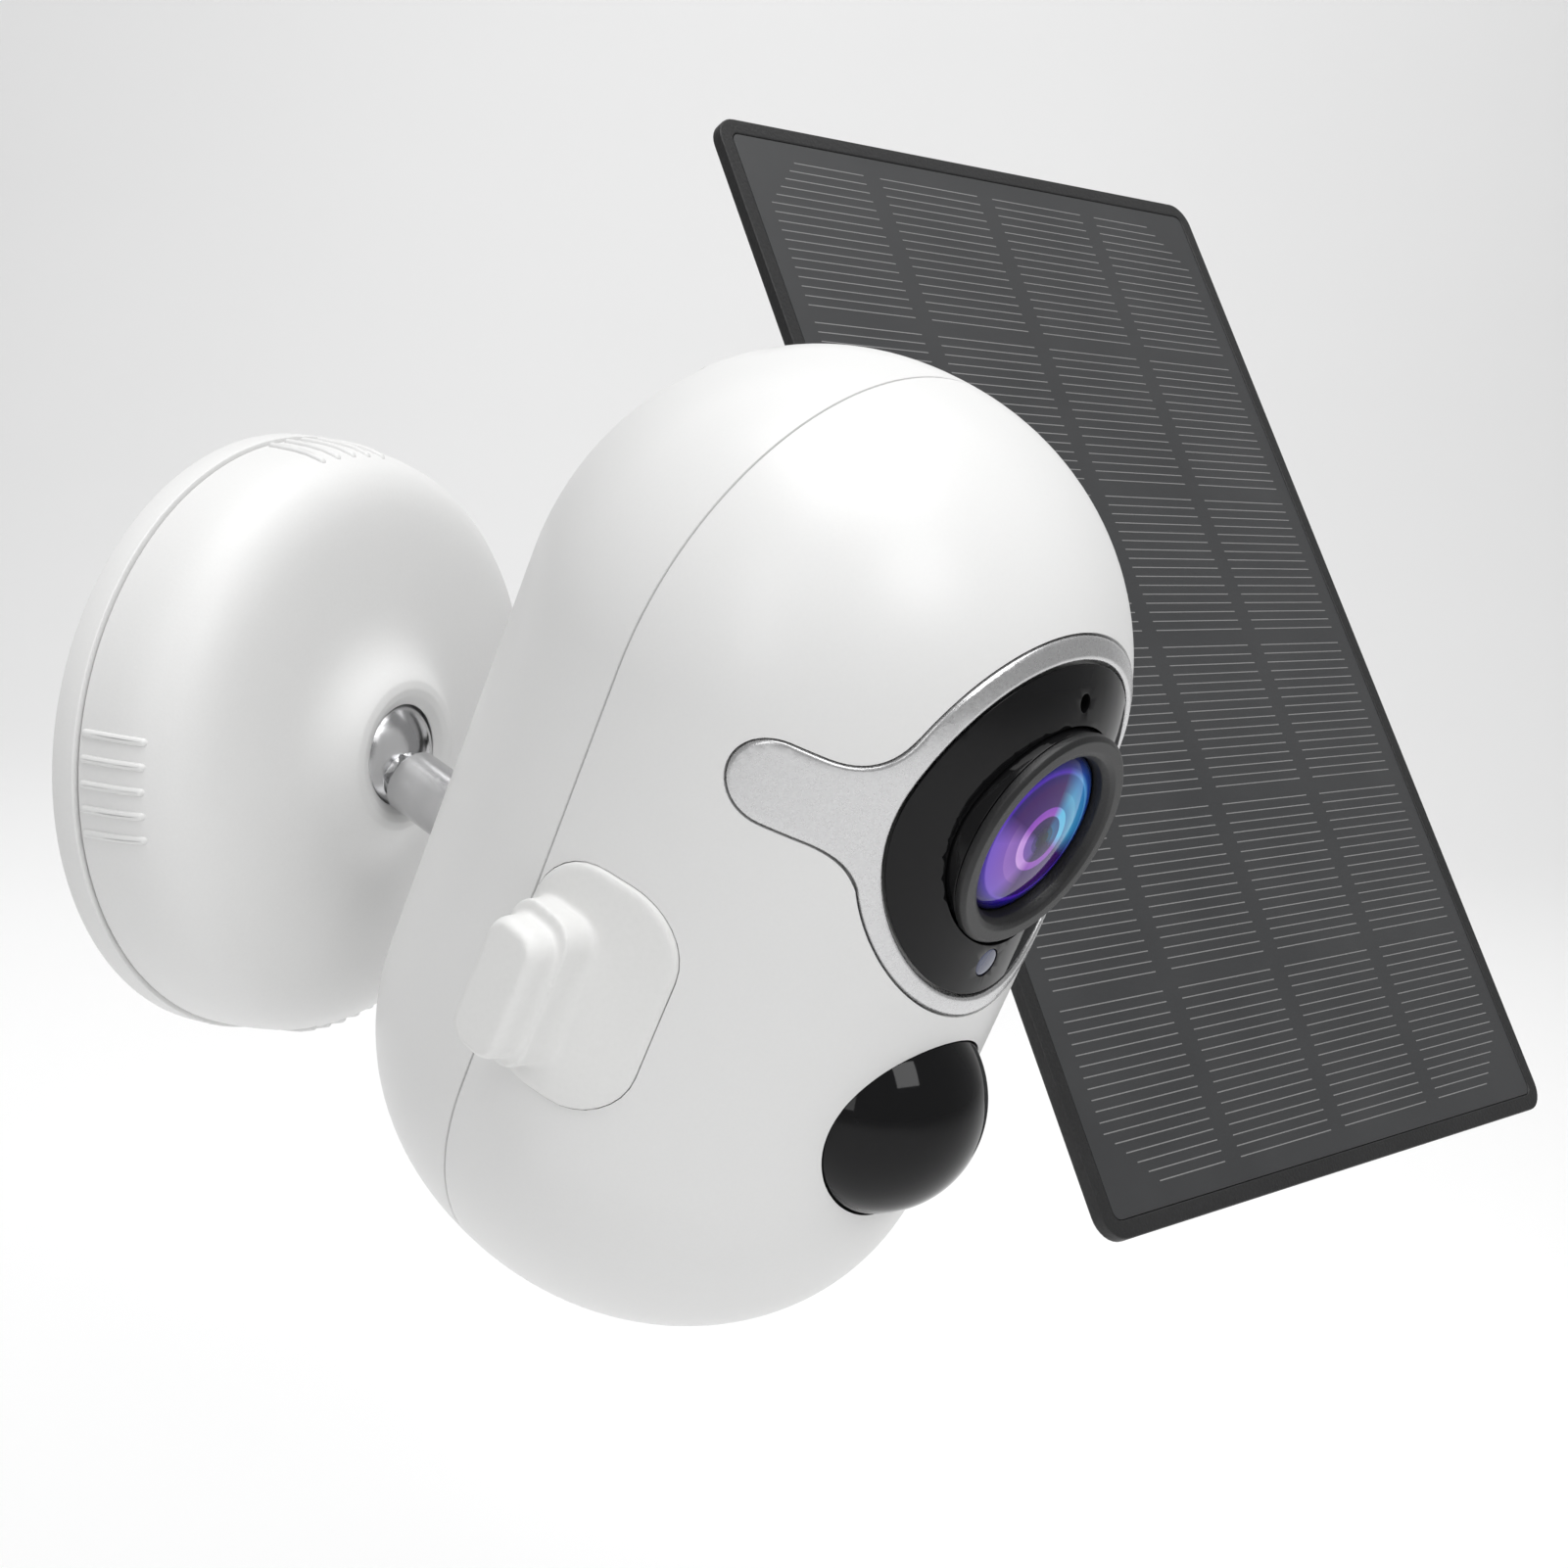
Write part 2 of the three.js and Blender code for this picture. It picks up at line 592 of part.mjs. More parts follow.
function buildFace() {
  const skin = headHalf(true, 0).subtract(headHalf(true, TRIM_T));
  place("trim_plate", cut(skin.intersect(trimPrism(0)), [rod(PLATE_R + 0.3, 60, 110, 0, LENS_Y, 32)]),
    M.silver, HEAD);

  const plate = headHalf(true, PLATE_INSET).intersect(rod(PLATE_R, PLATE_BACK, 110, 0, LENS_Y, 32));
  place("face_plate", cut(plate, [
    rod(RING_R + 0.25, 60, 110, 0, LENS_Y, 28),
    rod(MIC_R, 60, 110, 0, MIC_Y, 8),
    rod(1.5, 60, 84.0, 0, MIC_Y, 10),
    rod(SENSOR_R + 0.2, 60, 110, 0, SENSOR_Y, 12),
  ]), M.blackGloss, HEAD);
  place("light_sensor_window", rod(SENSOR_R, 86.8, 89.2, 0, SENSOR_Y, 12), M.sensorBlue, HEAD);
  place("microphone", rod(1.2, 81.2, 83.7, 0, MIC_Y, 10), M.chip, HEAD);

  const onLens = new THREE.Matrix4().makeTranslation(0, LENS_Y, 0);
  const lensFrame = HEAD.clone().multiply(onLens);
  place("lens_ring", turned([
    [9.3, 78.0], [9.3, 84.6], [8.3, 84.8], [8.3, 85.9], [9.3, 86.0], [9.3, 88.3], [10.1, RING_FRONT],
    [11.4, RING_FRONT], [RING_R, RING_FRONT - 0.5], [RING_R, 80.0], [13.3, 80.0], [13.3, 78.0],
  ], 28, true), M.blackSatin, lensFrame);
  place("lens_glass", turned([
    [0, 86.3], [GLASS_R, 86.3], [GLASS_R, 87.3], [6.4, 88.25], [3.2, 88.7], [0, 88.85],
  ], 20), M.lensGlass, lensFrame);
  place("lens_element", turned([
    [0, 81.0], [4.0, 80.6], [6.9, 79.6], [6.9, 81.4], [4.0, 83.2], [0, 84.0],
  ], 24), M.lensGlass, lensFrame);
  place("lens_barrel", turned([
    [4.4, 67.2], [4.4, 76.0], [7.2, 79.2], [7.2, 83.6], [7.6, 84.3], [8.2, 84.0], [8.2, 76.0],
    [5.9, 74.5], [5.9, 67.2],
  ], 18, true), M.blackSatin, lensFrame);
  place("lens_holder", cut(box(-12, 12, -8.5, 8.5, 63.0, 72.0), [
    rod(4.8, 60, 66, 0, 0, 16),
    rod(6.2, 66.7, 80, 0, 0, 20),
    rod(4.5, 66, 68, 0, 0, 16),
    box(-10.4, 4.9, -4.8, 4.8, 65.2, 66.5),
  ]), M.chip, lensFrame);
  place("ir_cut_filter", box(-4.4, 4.4, -4.4, 4.4, 65.6, 66.2), M.filterGlass, lensFrame);
  place("image_sensor", box(-3.2, 3.2, -3.2, 3.2, 63.0, 64.2), M.chip, lensFrame);

  const domeFrame = HEAD.clone().multiply(new THREE.Matrix4().makeTranslation(0, PIR_Y, PIR_Z));
  const dome = [[PIR_R + 1.2, -4.6], [PIR_R + 1.2, -3.2], [PIR_R, -3.2]];
  const bowl = [];
  for (let i = 0; i <= 5; i += 1) {
    const a = (i / 5) * (Math.PI / 2);
    dome.push([PIR_R * Math.cos(a), PIR_R * Math.sin(a)]);
    bowl.push([(PIR_R - 0.9) * Math.cos(a), (PIR_R - 0.9) * Math.sin(a)]);
  }
  place("pir_dome", turned([...dome, ...bowl.reverse(), [PIR_R - 0.9, -4.6], [PIR_R + 1.2, -4.6]], 24),
    M.blackGloss, domeFrame);
  place("pir_sensor", turned([
    [0, 63.0], [4.9, 63.0], [4.9, 63.7], [4.3, 63.9], [4.3, 67.4], [3.9, 67.8], [0, 67.8],
  ], 16), M.steel, HEAD.clone().multiply(new THREE.Matrix4().makeTranslation(0, PIR_Y, 0)));
}

function buildInside() {
  place("main_board", slab(roundRect(2.75, 23.75, 30.5, 71.5, 3), 61.0, 62.6), M.board, HEAD);
  place("antenna", box(-7.4, 7.4, 61.5, 67, 59.2, 60.0), M.board, HEAD);
  place("speaker", rodY(7.5, -25, -21.4, 0, 67.5, 20), M.chip, HEAD);

  for (const [i, sign] of [[1, -1], [2, 1]]) {
    const can = rodY(CELL_R, CELL_Y0, CELL_Y0 + CELL_L - 1.2, sign * CELL_X, CELL_Z, 20);
    const nub = rodY(2.8, CELL_Y0 + CELL_L - 2, CELL_Y0 + CELL_L, sign * CELL_X, CELL_Z, 10);
    place(`battery_${i}`, can.add(nub), M.cellWrap, HEAD);
  }
  const tray = slab(roundRect(0, 18.9, 33, 70.2, 3), 55.4, 56.3);
  const endLow = box(-13.5, 13.5, -16.2, CELL_Y0 - 0.3, 40.0, 55.6);
  const endTop = box(-13.5, 13.5, CELL_Y0 + CELL_L + 0.3, 54.0, 40.0, 55.6);
  place("battery_holder", joined([tray, endLow, endTop]), M.chip, HEAD);

  const portBoard = slabX(portShape({ ...BAY, r: 1 }, 1.2), -15.4, -13.8, 2);
  place("port_board", portBoard, M.board, HEAD);
  const usbShell = slabX(portShape(USB), -22.6, -15.7, 3)
    .subtract(slabX(portShape(USB, -0.4), -25, -17, 3))
    .add(slabX(portShape({ ...USB, lu: 6.4, ls: 0.7, r: 0.2 }), -21.9, -16, 2));
  place("usb_port", usbShell, M.steel, HEAD);
  const cardBody = slabX(portShape(CARD), -21.4, -15.7, 2)
    .subtract(slabX(portShape({ ...CARD, lu: 11.0, ls: 1.0, r: 0.2 }), -25, -16.4, 2));
  place("card_slot", cardBody, M.steel, HEAD);
  place("reset_button", rodX(RESET.r, -21.4, -16.3, RESET.u, RESET.s), M.grey, HEAD);
  place("power_button", rodX(POWER.r, -21.6, -16.3, POWER.u, POWER.s), M.grey, HEAD);

  const pad = headWhole(-PAD_PROUD).subtract(headWhole(PAD_SUNK))
    .intersect(slabX(portShape(PAD), -45, -8, 4));
  const block = slabX(portShape(BLOCK), BLOCK_X, -29.4, 3);
  const cap = slabX(portShape(CAP), CAP_X + 0.7, BLOCK_X + 0.5, 3)
    .add(slabX(portShape(CAP, -0.7), CAP_X, CAP_X + 1, 3));
  const plug = slabX(portShape(BAY, -0.3), -30.0, -24.0, 4).intersect(headWhole(0.5));
  place("port_cover", joined([pad, block, cap, plug]), M.silicone, HEAD);
}

// ---- Solar panel: z = 0 is the frame's front face ----
function panelShape(inset) {
  return roundRect(0, 0, PANEL_W - 2 * inset, PANEL_L - 2 * inset, Math.max(PANEL_CORNER_R - inset, 0.8));
}

function buildPanel() {
  const taper = new THREE.ExtrudeGeometry(panelShape(0), {
    depth: 6,
    curveSegments: 4,
    bevelSegments: 1,
    bevelThickness: FRAME_T - PANEL_EDGE_T,
    bevelSize: PANEL_TAPER,
    bevelOffset: -PANEL_TAPER,
  });
  const outer = slab(panelShape(0), -FRAME_T, 0).intersect(solid(moved(taper, 0, 0, -PANEL_EDGE_T)));
  const frame = cut(outer, [
    slab(panelShape(PANEL_LIP), -2.65, 1),
    slab(panelShape(PANEL_LIP + PANEL_LEDGE), -10, 1),
  ]);
  place("panel_frame", frame, M.frameBlack, PANEL);
  place("panel_glass", slab(panelShape(PANEL_LIP + GAP), -1.55, -0.45), M.panelGlass, PANEL);
  place("cell_sheet", slab(panelShape(PANEL_LIP + GAP), -2.35, -1.85), M.cellDark, PANEL);

  const z1 = -FRAME_T - GAP;
  const z0 = z1 - BACK_T;
  const boss = rod(8.0, z0 - 2.4, z1, 0, 0, 20);
  const ribs = [];
  for (const x of [-34, -17, 17, 34]) {
    ribs.push(box(x - 0.8, x + 0.8, -72, 72, z0 - 0.9, z1));
  }
  const back = joined([slab(panelShape(BACK_INSET), z0, z1), boss, ...ribs])
    .subtract(rod(5.0, z0 - 5, 0, 0, 0, 16));
  place("panel_back_cover", back, M.frameBlack, PANEL);
  place("panel_insert", rod(4.7, z0 - 2.2, z1 + 0.6, 0, 0, 16).subtract(rod(THREAD_R + GAP, -30, 0)),
    M.brass, PANEL);

  const boxTop = z0 - 0.9 - GAP;
  const shell = slab(roundRect(0, -46, 46, 30, 3), boxTop - 9, boxTop)
    .subtract(slab(roundRect(0, -46, 42, 26, 2), boxTop - 7.2, boxTop + 1))
    .subtract(rodY(3.4, -70, -55, 0, boxTop - 4.6, 16));
  place("junction_box", shell, M.frameBlack, PANEL);
  const glandAxis = PANEL.clone().multiply(new THREE.Matrix4().makeTranslation(0, -61.3, boxTop - 4.6))
    .multiply(new THREE.Matrix4().makeRotationX(Math.PI / 2));
  place("cable_gland", turned([
    [1.9, -4.0], [3.1, -4.0], [3.1, 0], [4.4, 0.0], [4.4, 3.2], [3.2, 5.6], [1.9, 5.6],
  ], 16, true), M.rubber, glandAxis);
}

// ---- Panel wall bracket ----
function buildBracket() {
  const out = BRACKET_BALL_OUT;
  const cupFoot = out - 15.2;
  const bracket = turned([
    [0, 0], [BRACKET_R - 0.4, 0], [BRACKET_R, 0.4], [BRACKET_R, 3.6], [BRACKET_R - 1.4, 5.0], [13, 6.2],
    [9.0, 9.0], [POST_R, 15.0], [POST_R, cupFoot - 4], [10.0, cupFoot], [10.0, out - 1.2],
    [8.9, out - 1.2], [8.9, cupFoot + 3.4], [0, cupFoot + 3.4],
  ], 24);
  const holes = [];
  for (let i = 0; i < 3; i += 1) {
    const a = Math.PI / 2 + (i * Math.PI * 2) / 3;
    const [x, y] = [19 * Math.cos(a), 19 * Math.sin(a)];
    holes.push(rod(2.1, -1, 12, x, y, 12));
    holes.push(rod(4.0, 4.0, 12, x, y, 12));
  }
  place("panel_bracket", cut(bracket, holes), M.frameBlack, BRACKET);

  const bowl = [];
  for (let i = 0; i <= 4; i += 1) {
    const a = -Math.PI / 2 + 0.4 + (i / 4) * (Math.PI / 2 - 0.4 - 0.3);
    bowl.push([SEAT_R * Math.cos(a), out + SEAT_R * Math.sin(a)]);
  }
  place("panel_friction_cup", turned([
    [bowl[0][0], cupFoot + 3.8], [8.6, cupFoot + 3.8], [8.6, bowl[4][1]], ...bowl.reverse(),
  ], 22, true), M.grey, BRACKET);

  const mouthZ = Math.sqrt((SEAT_R + 0.1) ** 2 - MOUTH2_R ** 2);
  const ring = turned([
    [10.3, out - 9.0], [LOCK_R, out - 9.0], [LOCK_R, out + 2.2], [9.6, out + 4.9],
    [MOUTH2_R + 0.5, out + 5.2], [MOUTH2_R, out + mouthZ], [7.9, out + 2.6], [8.32, out + 0.6],
    [8.4, out - 0.8], [10.3, out - 0.9],
  ], 20, true);
  const grips = [];
  for (let i = 0; i < 8; i += 1) {
    const a = (i * Math.PI) / 4;
    grips.push(rod(0.9, out - 10, out + 6, 12.0 * Math.cos(a), 12.0 * Math.sin(a), 5));
  }
  place("panel_lock_ring", cut(ring, grips), M.frameBlack, BRACKET);

  const studFrame = PANEL.clone().multiply(new THREE.Matrix4().makeTranslation(0, 0, -PANEL_BALL_BACK));
  const shank = turned([
    [0, 6.5], [2.6, 6.5], [2.6, 10.4], [THREAD_R, 10.9], [THREAD_R, 18.4], [2.5, 19.0], [0, 19.0],
  ], 16);
  place("panel_ball_stud", ball(BALL_R, 0, 0, 0, 18).add(shank), M.steel, studFrame);
  const nut = turned([
    [THREAD_R + GAP, 11.3], [7.0, 11.3], [7.8, 12.0], [7.8, 13.6], [7.0, 14.3], [THREAD_R + GAP, 14.3],
  ], 20, true);
  const flutes = [];
  for (let i = 0; i < 8; i += 1) {
    const a = (i * Math.PI) / 4;
    flutes.push(rod(0.8, 10, 16, 8.1 * Math.cos(a), 8.1 * Math.sin(a), 5));
  }
  place("panel_thumb_nut", cut(nut, flutes), M.frameBlack, studFrame);
}

buildBase();
buildStud();
buildShells();
buildFace();
buildInside();
buildPanel();
buildBracket();

export default part;
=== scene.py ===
# Looks of a solar-powered security camera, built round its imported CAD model.
# Shapes are drawn in millimetres, in each piece's local frame, and placed in metres.

import math

import bmesh
import bpy
import numpy as np
from mathutils import Matrix, Vector
from mathutils.bvhtree import BVHTree
from mathutils.geometry import delaunay_2d_cdt


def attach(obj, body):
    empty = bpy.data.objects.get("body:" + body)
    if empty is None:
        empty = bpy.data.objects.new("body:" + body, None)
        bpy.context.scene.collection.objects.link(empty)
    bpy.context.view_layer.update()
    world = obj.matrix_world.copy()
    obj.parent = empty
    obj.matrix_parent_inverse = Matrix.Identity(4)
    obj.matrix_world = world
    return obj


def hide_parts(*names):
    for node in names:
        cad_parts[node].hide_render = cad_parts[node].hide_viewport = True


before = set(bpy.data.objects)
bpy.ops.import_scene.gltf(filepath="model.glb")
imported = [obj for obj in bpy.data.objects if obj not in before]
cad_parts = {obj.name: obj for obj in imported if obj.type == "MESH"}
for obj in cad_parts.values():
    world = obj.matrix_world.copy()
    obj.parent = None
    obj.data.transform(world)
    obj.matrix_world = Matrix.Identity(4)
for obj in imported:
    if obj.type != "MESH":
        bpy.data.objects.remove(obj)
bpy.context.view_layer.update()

MM = 0.001
SHARP_DEG = 32  # edges that turn more than this stay sharp
WELD_M, DEGENERATE_M = 2e-7, 1e-7
CORNER_STEPS = 8
BOUNDARY_COLS, STRAIGHT_STEPS = 72, 14  # points round a lobe, and along a straight flank


# ---- Frames: z of each local frame is the direction the piece faces ----
def turn(axis, degrees):
    return np.array(Matrix.Rotation(math.radians(degrees), 4, axis))


def facing(yaw, pitch, roll, origin):
    place = np.array(Matrix.Translation(origin))
    return place @ turn("Z", -yaw) @ turn("X", pitch) @ turn("Y", roll) @ turn("X", 90)


def shifted(matrix, x, y, z):
    return matrix @ np.array(Matrix.Translation((x, y, z)))


BALL_OUT = 15.0
BALL = (0, -BALL_OUT, 0)
BASE = facing(0, 0, 0, (0, 0, 0))
HEAD = facing(10.69, 20.9, 2.74, BALL)
STUD = facing(10.69, 17.0, 2.74, BALL)
STUD_IN_HEAD = np.linalg.inv(HEAD) @ STUD
PANEL = facing(16.3, -32.83, 0.38, (117.0, -74.0, 14.3))
PANEL_BALL_BACK = 23.0
PANEL_STUD = shifted(PANEL, 0, 0, -PANEL_BALL_BACK)
PANEL_BALL = PANEL_STUD[:3, 3]
BRACKET = facing(0, 0, 0, (PANEL_BALL[0], 0, PANEL_BALL[2]))
BRACKET_OUT = -PANEL_BALL[1]

# ---- Dimensions shared by several pieces ----
SEAM = 56.76
TOP_Y, TOP_R, TOP_DEPTH = 44.23, 31.79, 32.26
LOW_Y, LOW_R, LOW_DEPTH = -4.65, 29.75, 34.16
REAR_DEPTH = 31.2
FRONT_POWER, REAR_POWER = 2.0, 2.17
WALL = 2.2
LENS_Y = 41.26
TRIM_R = 20.2
PLATE_R = 17.8
RING_R = 11.94
PIR_Y, PIR_Z, PIR_R = 6.98, 84.62, 11.93
PAD = dict(u=11.8, s=65.3, lu=25.2, ls=16.7, r=7.0)
BLOCK = dict(u=10.4, s=61.7, lu=17.2, ls=8.2, r=2.2)
CAP = dict(u=10.1, s=61.5, lu=14.8, ls=7.0, r=1.8)
BAY = dict(u=12.5, s=65.0, lu=16.0, ls=9.0, r=2.2)
USB = dict(u=9.8, s=63.2, lu=9.2, ls=3.4, r=1.6)
CARD = dict(u=10.9, s=67.3, lu=11.8, ls=2.2, r=0.3)
BALL_R, SEAT_R, MOUTH_R = 8.0, 8.25, 6.2
SCREWS = [(-12, 64), (12, 64), (-13, -21), (13, -21)]
PANEL_L, PANEL_W, PANEL_CORNER, PANEL_LIP = 170.0, 116.3, 4.0, 2.5


# ---- Shapes: each is (vertices, faces) ----
def joined(shapes):
    verts, faces, start = [], [], 0
    for v, f in shapes:
        verts.append(np.asarray(v, float))
        faces += [[i + start for i in face] for face in f]
        start += len(v)
    return np.concatenate(verts), faces


def loft(rings, cap=True, closed=False):
    """Quads between rings of equal length. closed joins the last ring to the first."""
    n, count = len(rings[0]), len(rings)
    faces = []
    for j in range(count if closed else count - 1):
        a, b = j * n, ((j + 1) % count) * n
        faces += [[a + i, a + (i + 1) % n, b + (i + 1) % n, b + i] for i in range(n)]
    if cap and not closed:
        faces.append(list(range(n))[::-1])
        faces.append([(count - 1) * n + i for i in range(n)])
    return np.concatenate([np.asarray(r, float) for r in rings]), faces


NEARLY_STRAIGHT = -0.93  # cosine between a corner's two arms
ARM_SHARE = 0.45


def rounded(points, radius, closed=False, steps=3):
    """The outline with each clear corner replaced by a short curve."""
    points = [np.array(p, float) for p in points]
    out = []
    for i, b in enumerate(points):
        if not closed and i in (0, len(points) - 1):
            out.append(b)
            continue
        a, c = points[i - 1], points[(i + 1) % len(points)]
        ab, cb = a - b, c - b
        la, lc = np.linalg.norm(ab), np.linalg.norm(cb)
        if la < 1e-9 or lc < 1e-9 or np.dot(ab, cb) / (la * lc) < NEARLY_STRAIGHT:
            out.append(b)
            continue
        d = min(radius, ARM_SHARE * la, ARM_SHARE * lc)
        p, q = b + ab * d / la, b + cb * d / lc
        for k in range(steps + 1):
            t = k / steps
            out.append((1 - t) ** 2 * p + 2 * t * (1 - t) * b + t * t * q)
    return out


def lathe(profile, segs=96, closed=False, radius=0.15, centre=(0, 0)):
    """A turned shape about z from a [radius, z] outline."""
    pts = rounded(profile, radius, closed) if radius else profile
    angles = np.arange(segs) * 2 * math.pi / segs
    rings = [
        np.column_stack([
            centre[0] + r * np.cos(angles), centre[1] + r * np.sin(angles), np.full(segs, z)
        ])
        for r, z in pts
    ]
    return loft(rings, cap=False, closed=closed)


def arc(cx, cy, r, a0, a1, n):
    angles = [a0 + (a1 - a0) * i / n for i in range(n + 1)]
    return [(cx + r * math.cos(a), cy + r * math.sin(a)) for a in angles]


def round_rect(cx, cy, w, h, r):
    x0, x1, y0, y1 = cx - w / 2, cx + w / 2, cy - h / 2, cy + h / 2
    centres = [(x1 - r, y0 + r), (x1 - r, y1 - r), (x0 + r, y1 - r), (x0 + r, y0 + r)]
    quarter = math.pi / 2
    outline = []
    for k, (x, y) in enumerate(centres):
        outline += arc(x, y, r, (k - 1) * quarter, k * quarter, CORNER_STEPS)
    return np.array(outline)


def inset_rect(cx, cy, w, h, r):
    """A function from an inset to the rounded rectangle's outline; the point count is fixed."""
    return lambda i: round_rect(cx, cy, w - 2 * i, h - 2 * i, max(r - i, 0.05))


def port_outline(d, margin=0.0):
    """A port piece's outline in (u, s), up the head and out from its back, grown by margin."""
    return inset_rect(d["u"], d["s"], d["lu"], d["ls"], d["r"])(-margin)


def slab(outline_at, profile, radius=0.3, closed=False):
    """A prism along z. profile is a list of [inset, z]; its corners are rounded."""
    pts = rounded(profile, radius, closed) if radius else profile
    rings = []
    for inset, z in pts:
        flat = outline_at(inset)
        rings.append(np.column_stack([flat, np.full(len(flat), z)]))
    return loft(rings, cap=not closed, closed=closed)


def along_x(shape):
    """Turns a shape drawn in (u, s, x) into head axes (x, y = u, z = s)."""
    v, f = shape
    return v[:, [2, 0, 1]], f


def along_y(shape, x, z):
    """Turns a shape about z into one about y."""
    v, f = shape
    return np.column_stack([v[:, 0] + x, v[:, 2], z - v[:, 1]]), f


def transformed(shape, matrix):
    v, f = shape
    return v @ matrix[:3, :3].T + matrix[:3, 3], f


def rod(r, z0, z1, x=0.0, y=0.0, segs=32):
    return lathe([(0, z0), (r, z0), (r, z1), (0, z1)], segs, radius=0, centre=(x, y))


def box(x0, x1, y0, y1, z0, z1):
    corners = [(x, y) for x, y in ((x0, y0), (x1, y0), (x1, y1), (x0, y1))]
    return loft([[(x, y, z) for x, y in corners] for z in (z0, z1)])


# ---- Meshes and objects ----
def mesh_of(name, shape, matrix):
    v, f = shape
    mesh = bpy.data.meshes.new(name)
    mesh.from_pydata([tuple(p) for p in (v @ matrix[:3, :3].T + matrix[:3, 3]) * MM], [], f)
    bm = bmesh.new()
    bm.from_mesh(mesh)
    bmesh.ops.remove_doubles(bm, verts=bm.verts, dist=WELD_M)
    bmesh.ops.dissolve_degenerate(bm, edges=bm.edges, dist=DEGENERATE_M)
    bmesh.ops.recalc_face_normals(bm, faces=bm.faces)
    bm.to_mesh(mesh)
    bm.free()
    return mesh


def add_local(obj, matrix):
    """Keeps each vertex's local millimetres on the mesh, for the materials."""
    mesh = obj.data
    n = len(mesh.vertices)
    co = np.zeros(n * 3)
    mesh.vertices.foreach_get("co", co)
    local = (co.reshape(-1, 3) / MM - matrix[:3, 3]) @ matrix[:3, :3]
    attribute = mesh.attributes.new("local", "FLOAT_VECTOR", "POINT")
    attribute.data.foreach_set("vector", local.astype(np.float32).ravel())


def linked(name, data):
    obj = bpy.data.objects.new(name, data)
    bpy.context.scene.collection.objects.link(obj)
    return obj


def removed(obj):
    mesh = obj.data
    bpy.data.objects.remove(obj)
    bpy.data.meshes.remove(mesh)


def to_local(matrix, point_m):
    """A world point in metres as local millimetres."""
    inverse = np.linalg.inv(matrix)
    return inverse[:3, :3] @ (np.array(point_m) / MM) + inverse[:3, 3]


def piece(name, shape, matrix, material, body, nodes=(), slot=None, **shading):
    obj = linked(name, mesh_of(name, shape, matrix))
    finished(obj, matrix, material, body, nodes, slot, **shading)


def finished(obj, matrix, material, body, nodes=(), slot=None, sharp=SHARP_DEG, weighted=True):
    """Shades the object, and puts it on its body in place of the CAD nodes."""
    add_local(obj, matrix)
    mesh = obj.data
    mesh.shade_smooth()
    if sharp:
        mesh.set_sharp_from_angle(angle=math.radians(sharp))
    if weighted:
        modifier = obj.modifiers.new("weighted", "WEIGHTED_NORMAL")
        modifier.keep_sharp = True
    mesh.materials.clear()
    mesh.materials.append(material)
    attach(obj, body)
    if nodes:
        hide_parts(*nodes)


def scratch(shape, matrix):
    return linked("scratch", mesh_of("scratch", shape, matrix))


def carved(name, shape, matrix, steps):
    """A new object from the shape after boolean steps, each (operation, shape)."""
    obj = scratch(shape, matrix)
    tools = []
    for operation, tool in steps:
        tools.append(scratch(tool, matrix))
        modifier = obj.modifiers.new("carve", "BOOLEAN")
        modifier.operation = operation
        modifier.solver = "EXACT"
        modifier.object = tools[-1]
    graph = bpy.context.evaluated_depsgraph_get()
    mesh = bpy.data.meshes.new_from_object(obj.evaluated_get(graph))
    for old in [obj, *tools]:
        removed(old)
    mesh.name = name
    return linked(name, mesh)


def taken_back(obj, matrix):
    """The object's mesh as a shape in local millimetres; the object itself goes."""
    verts = np.array([to_local(matrix, v.co) for v in obj.data.vertices])
    faces = [list(f.vertices) for f in obj.data.polygons]
    removed(obj)
    return verts, faces


# ---- Head form: hull of an upper and a lower lobe on one side of the seam plane ----
def lobe(n, y, r, depth, power):
    """How far the lobe reaches in direction n, and the point where it does."""
    q = power / (power - 1)
    flat = math.hypot(n[0], n[1])
    h = ((r * flat) ** q + (depth * max(n[2], 0.0)) ** q) ** (1 / q)
    rho = r * ((r * flat) / h) ** (q - 1)
    z = depth * ((depth * max(n[2], 0.0)) / h) ** (q - 1)
    k = rho / flat if flat > 1e-9 else 0.0
    return y * n[1] + h, np.array([k * n[0], y + k * n[1], z])


def root(f, a, b):
    """Where f changes sign between a and b, by halving."""
    for _ in range(45):
        mid = (a + b) / 2
        if f(mid) > 0:
            b = mid
        else:
            a = mid
    return (a + b) / 2


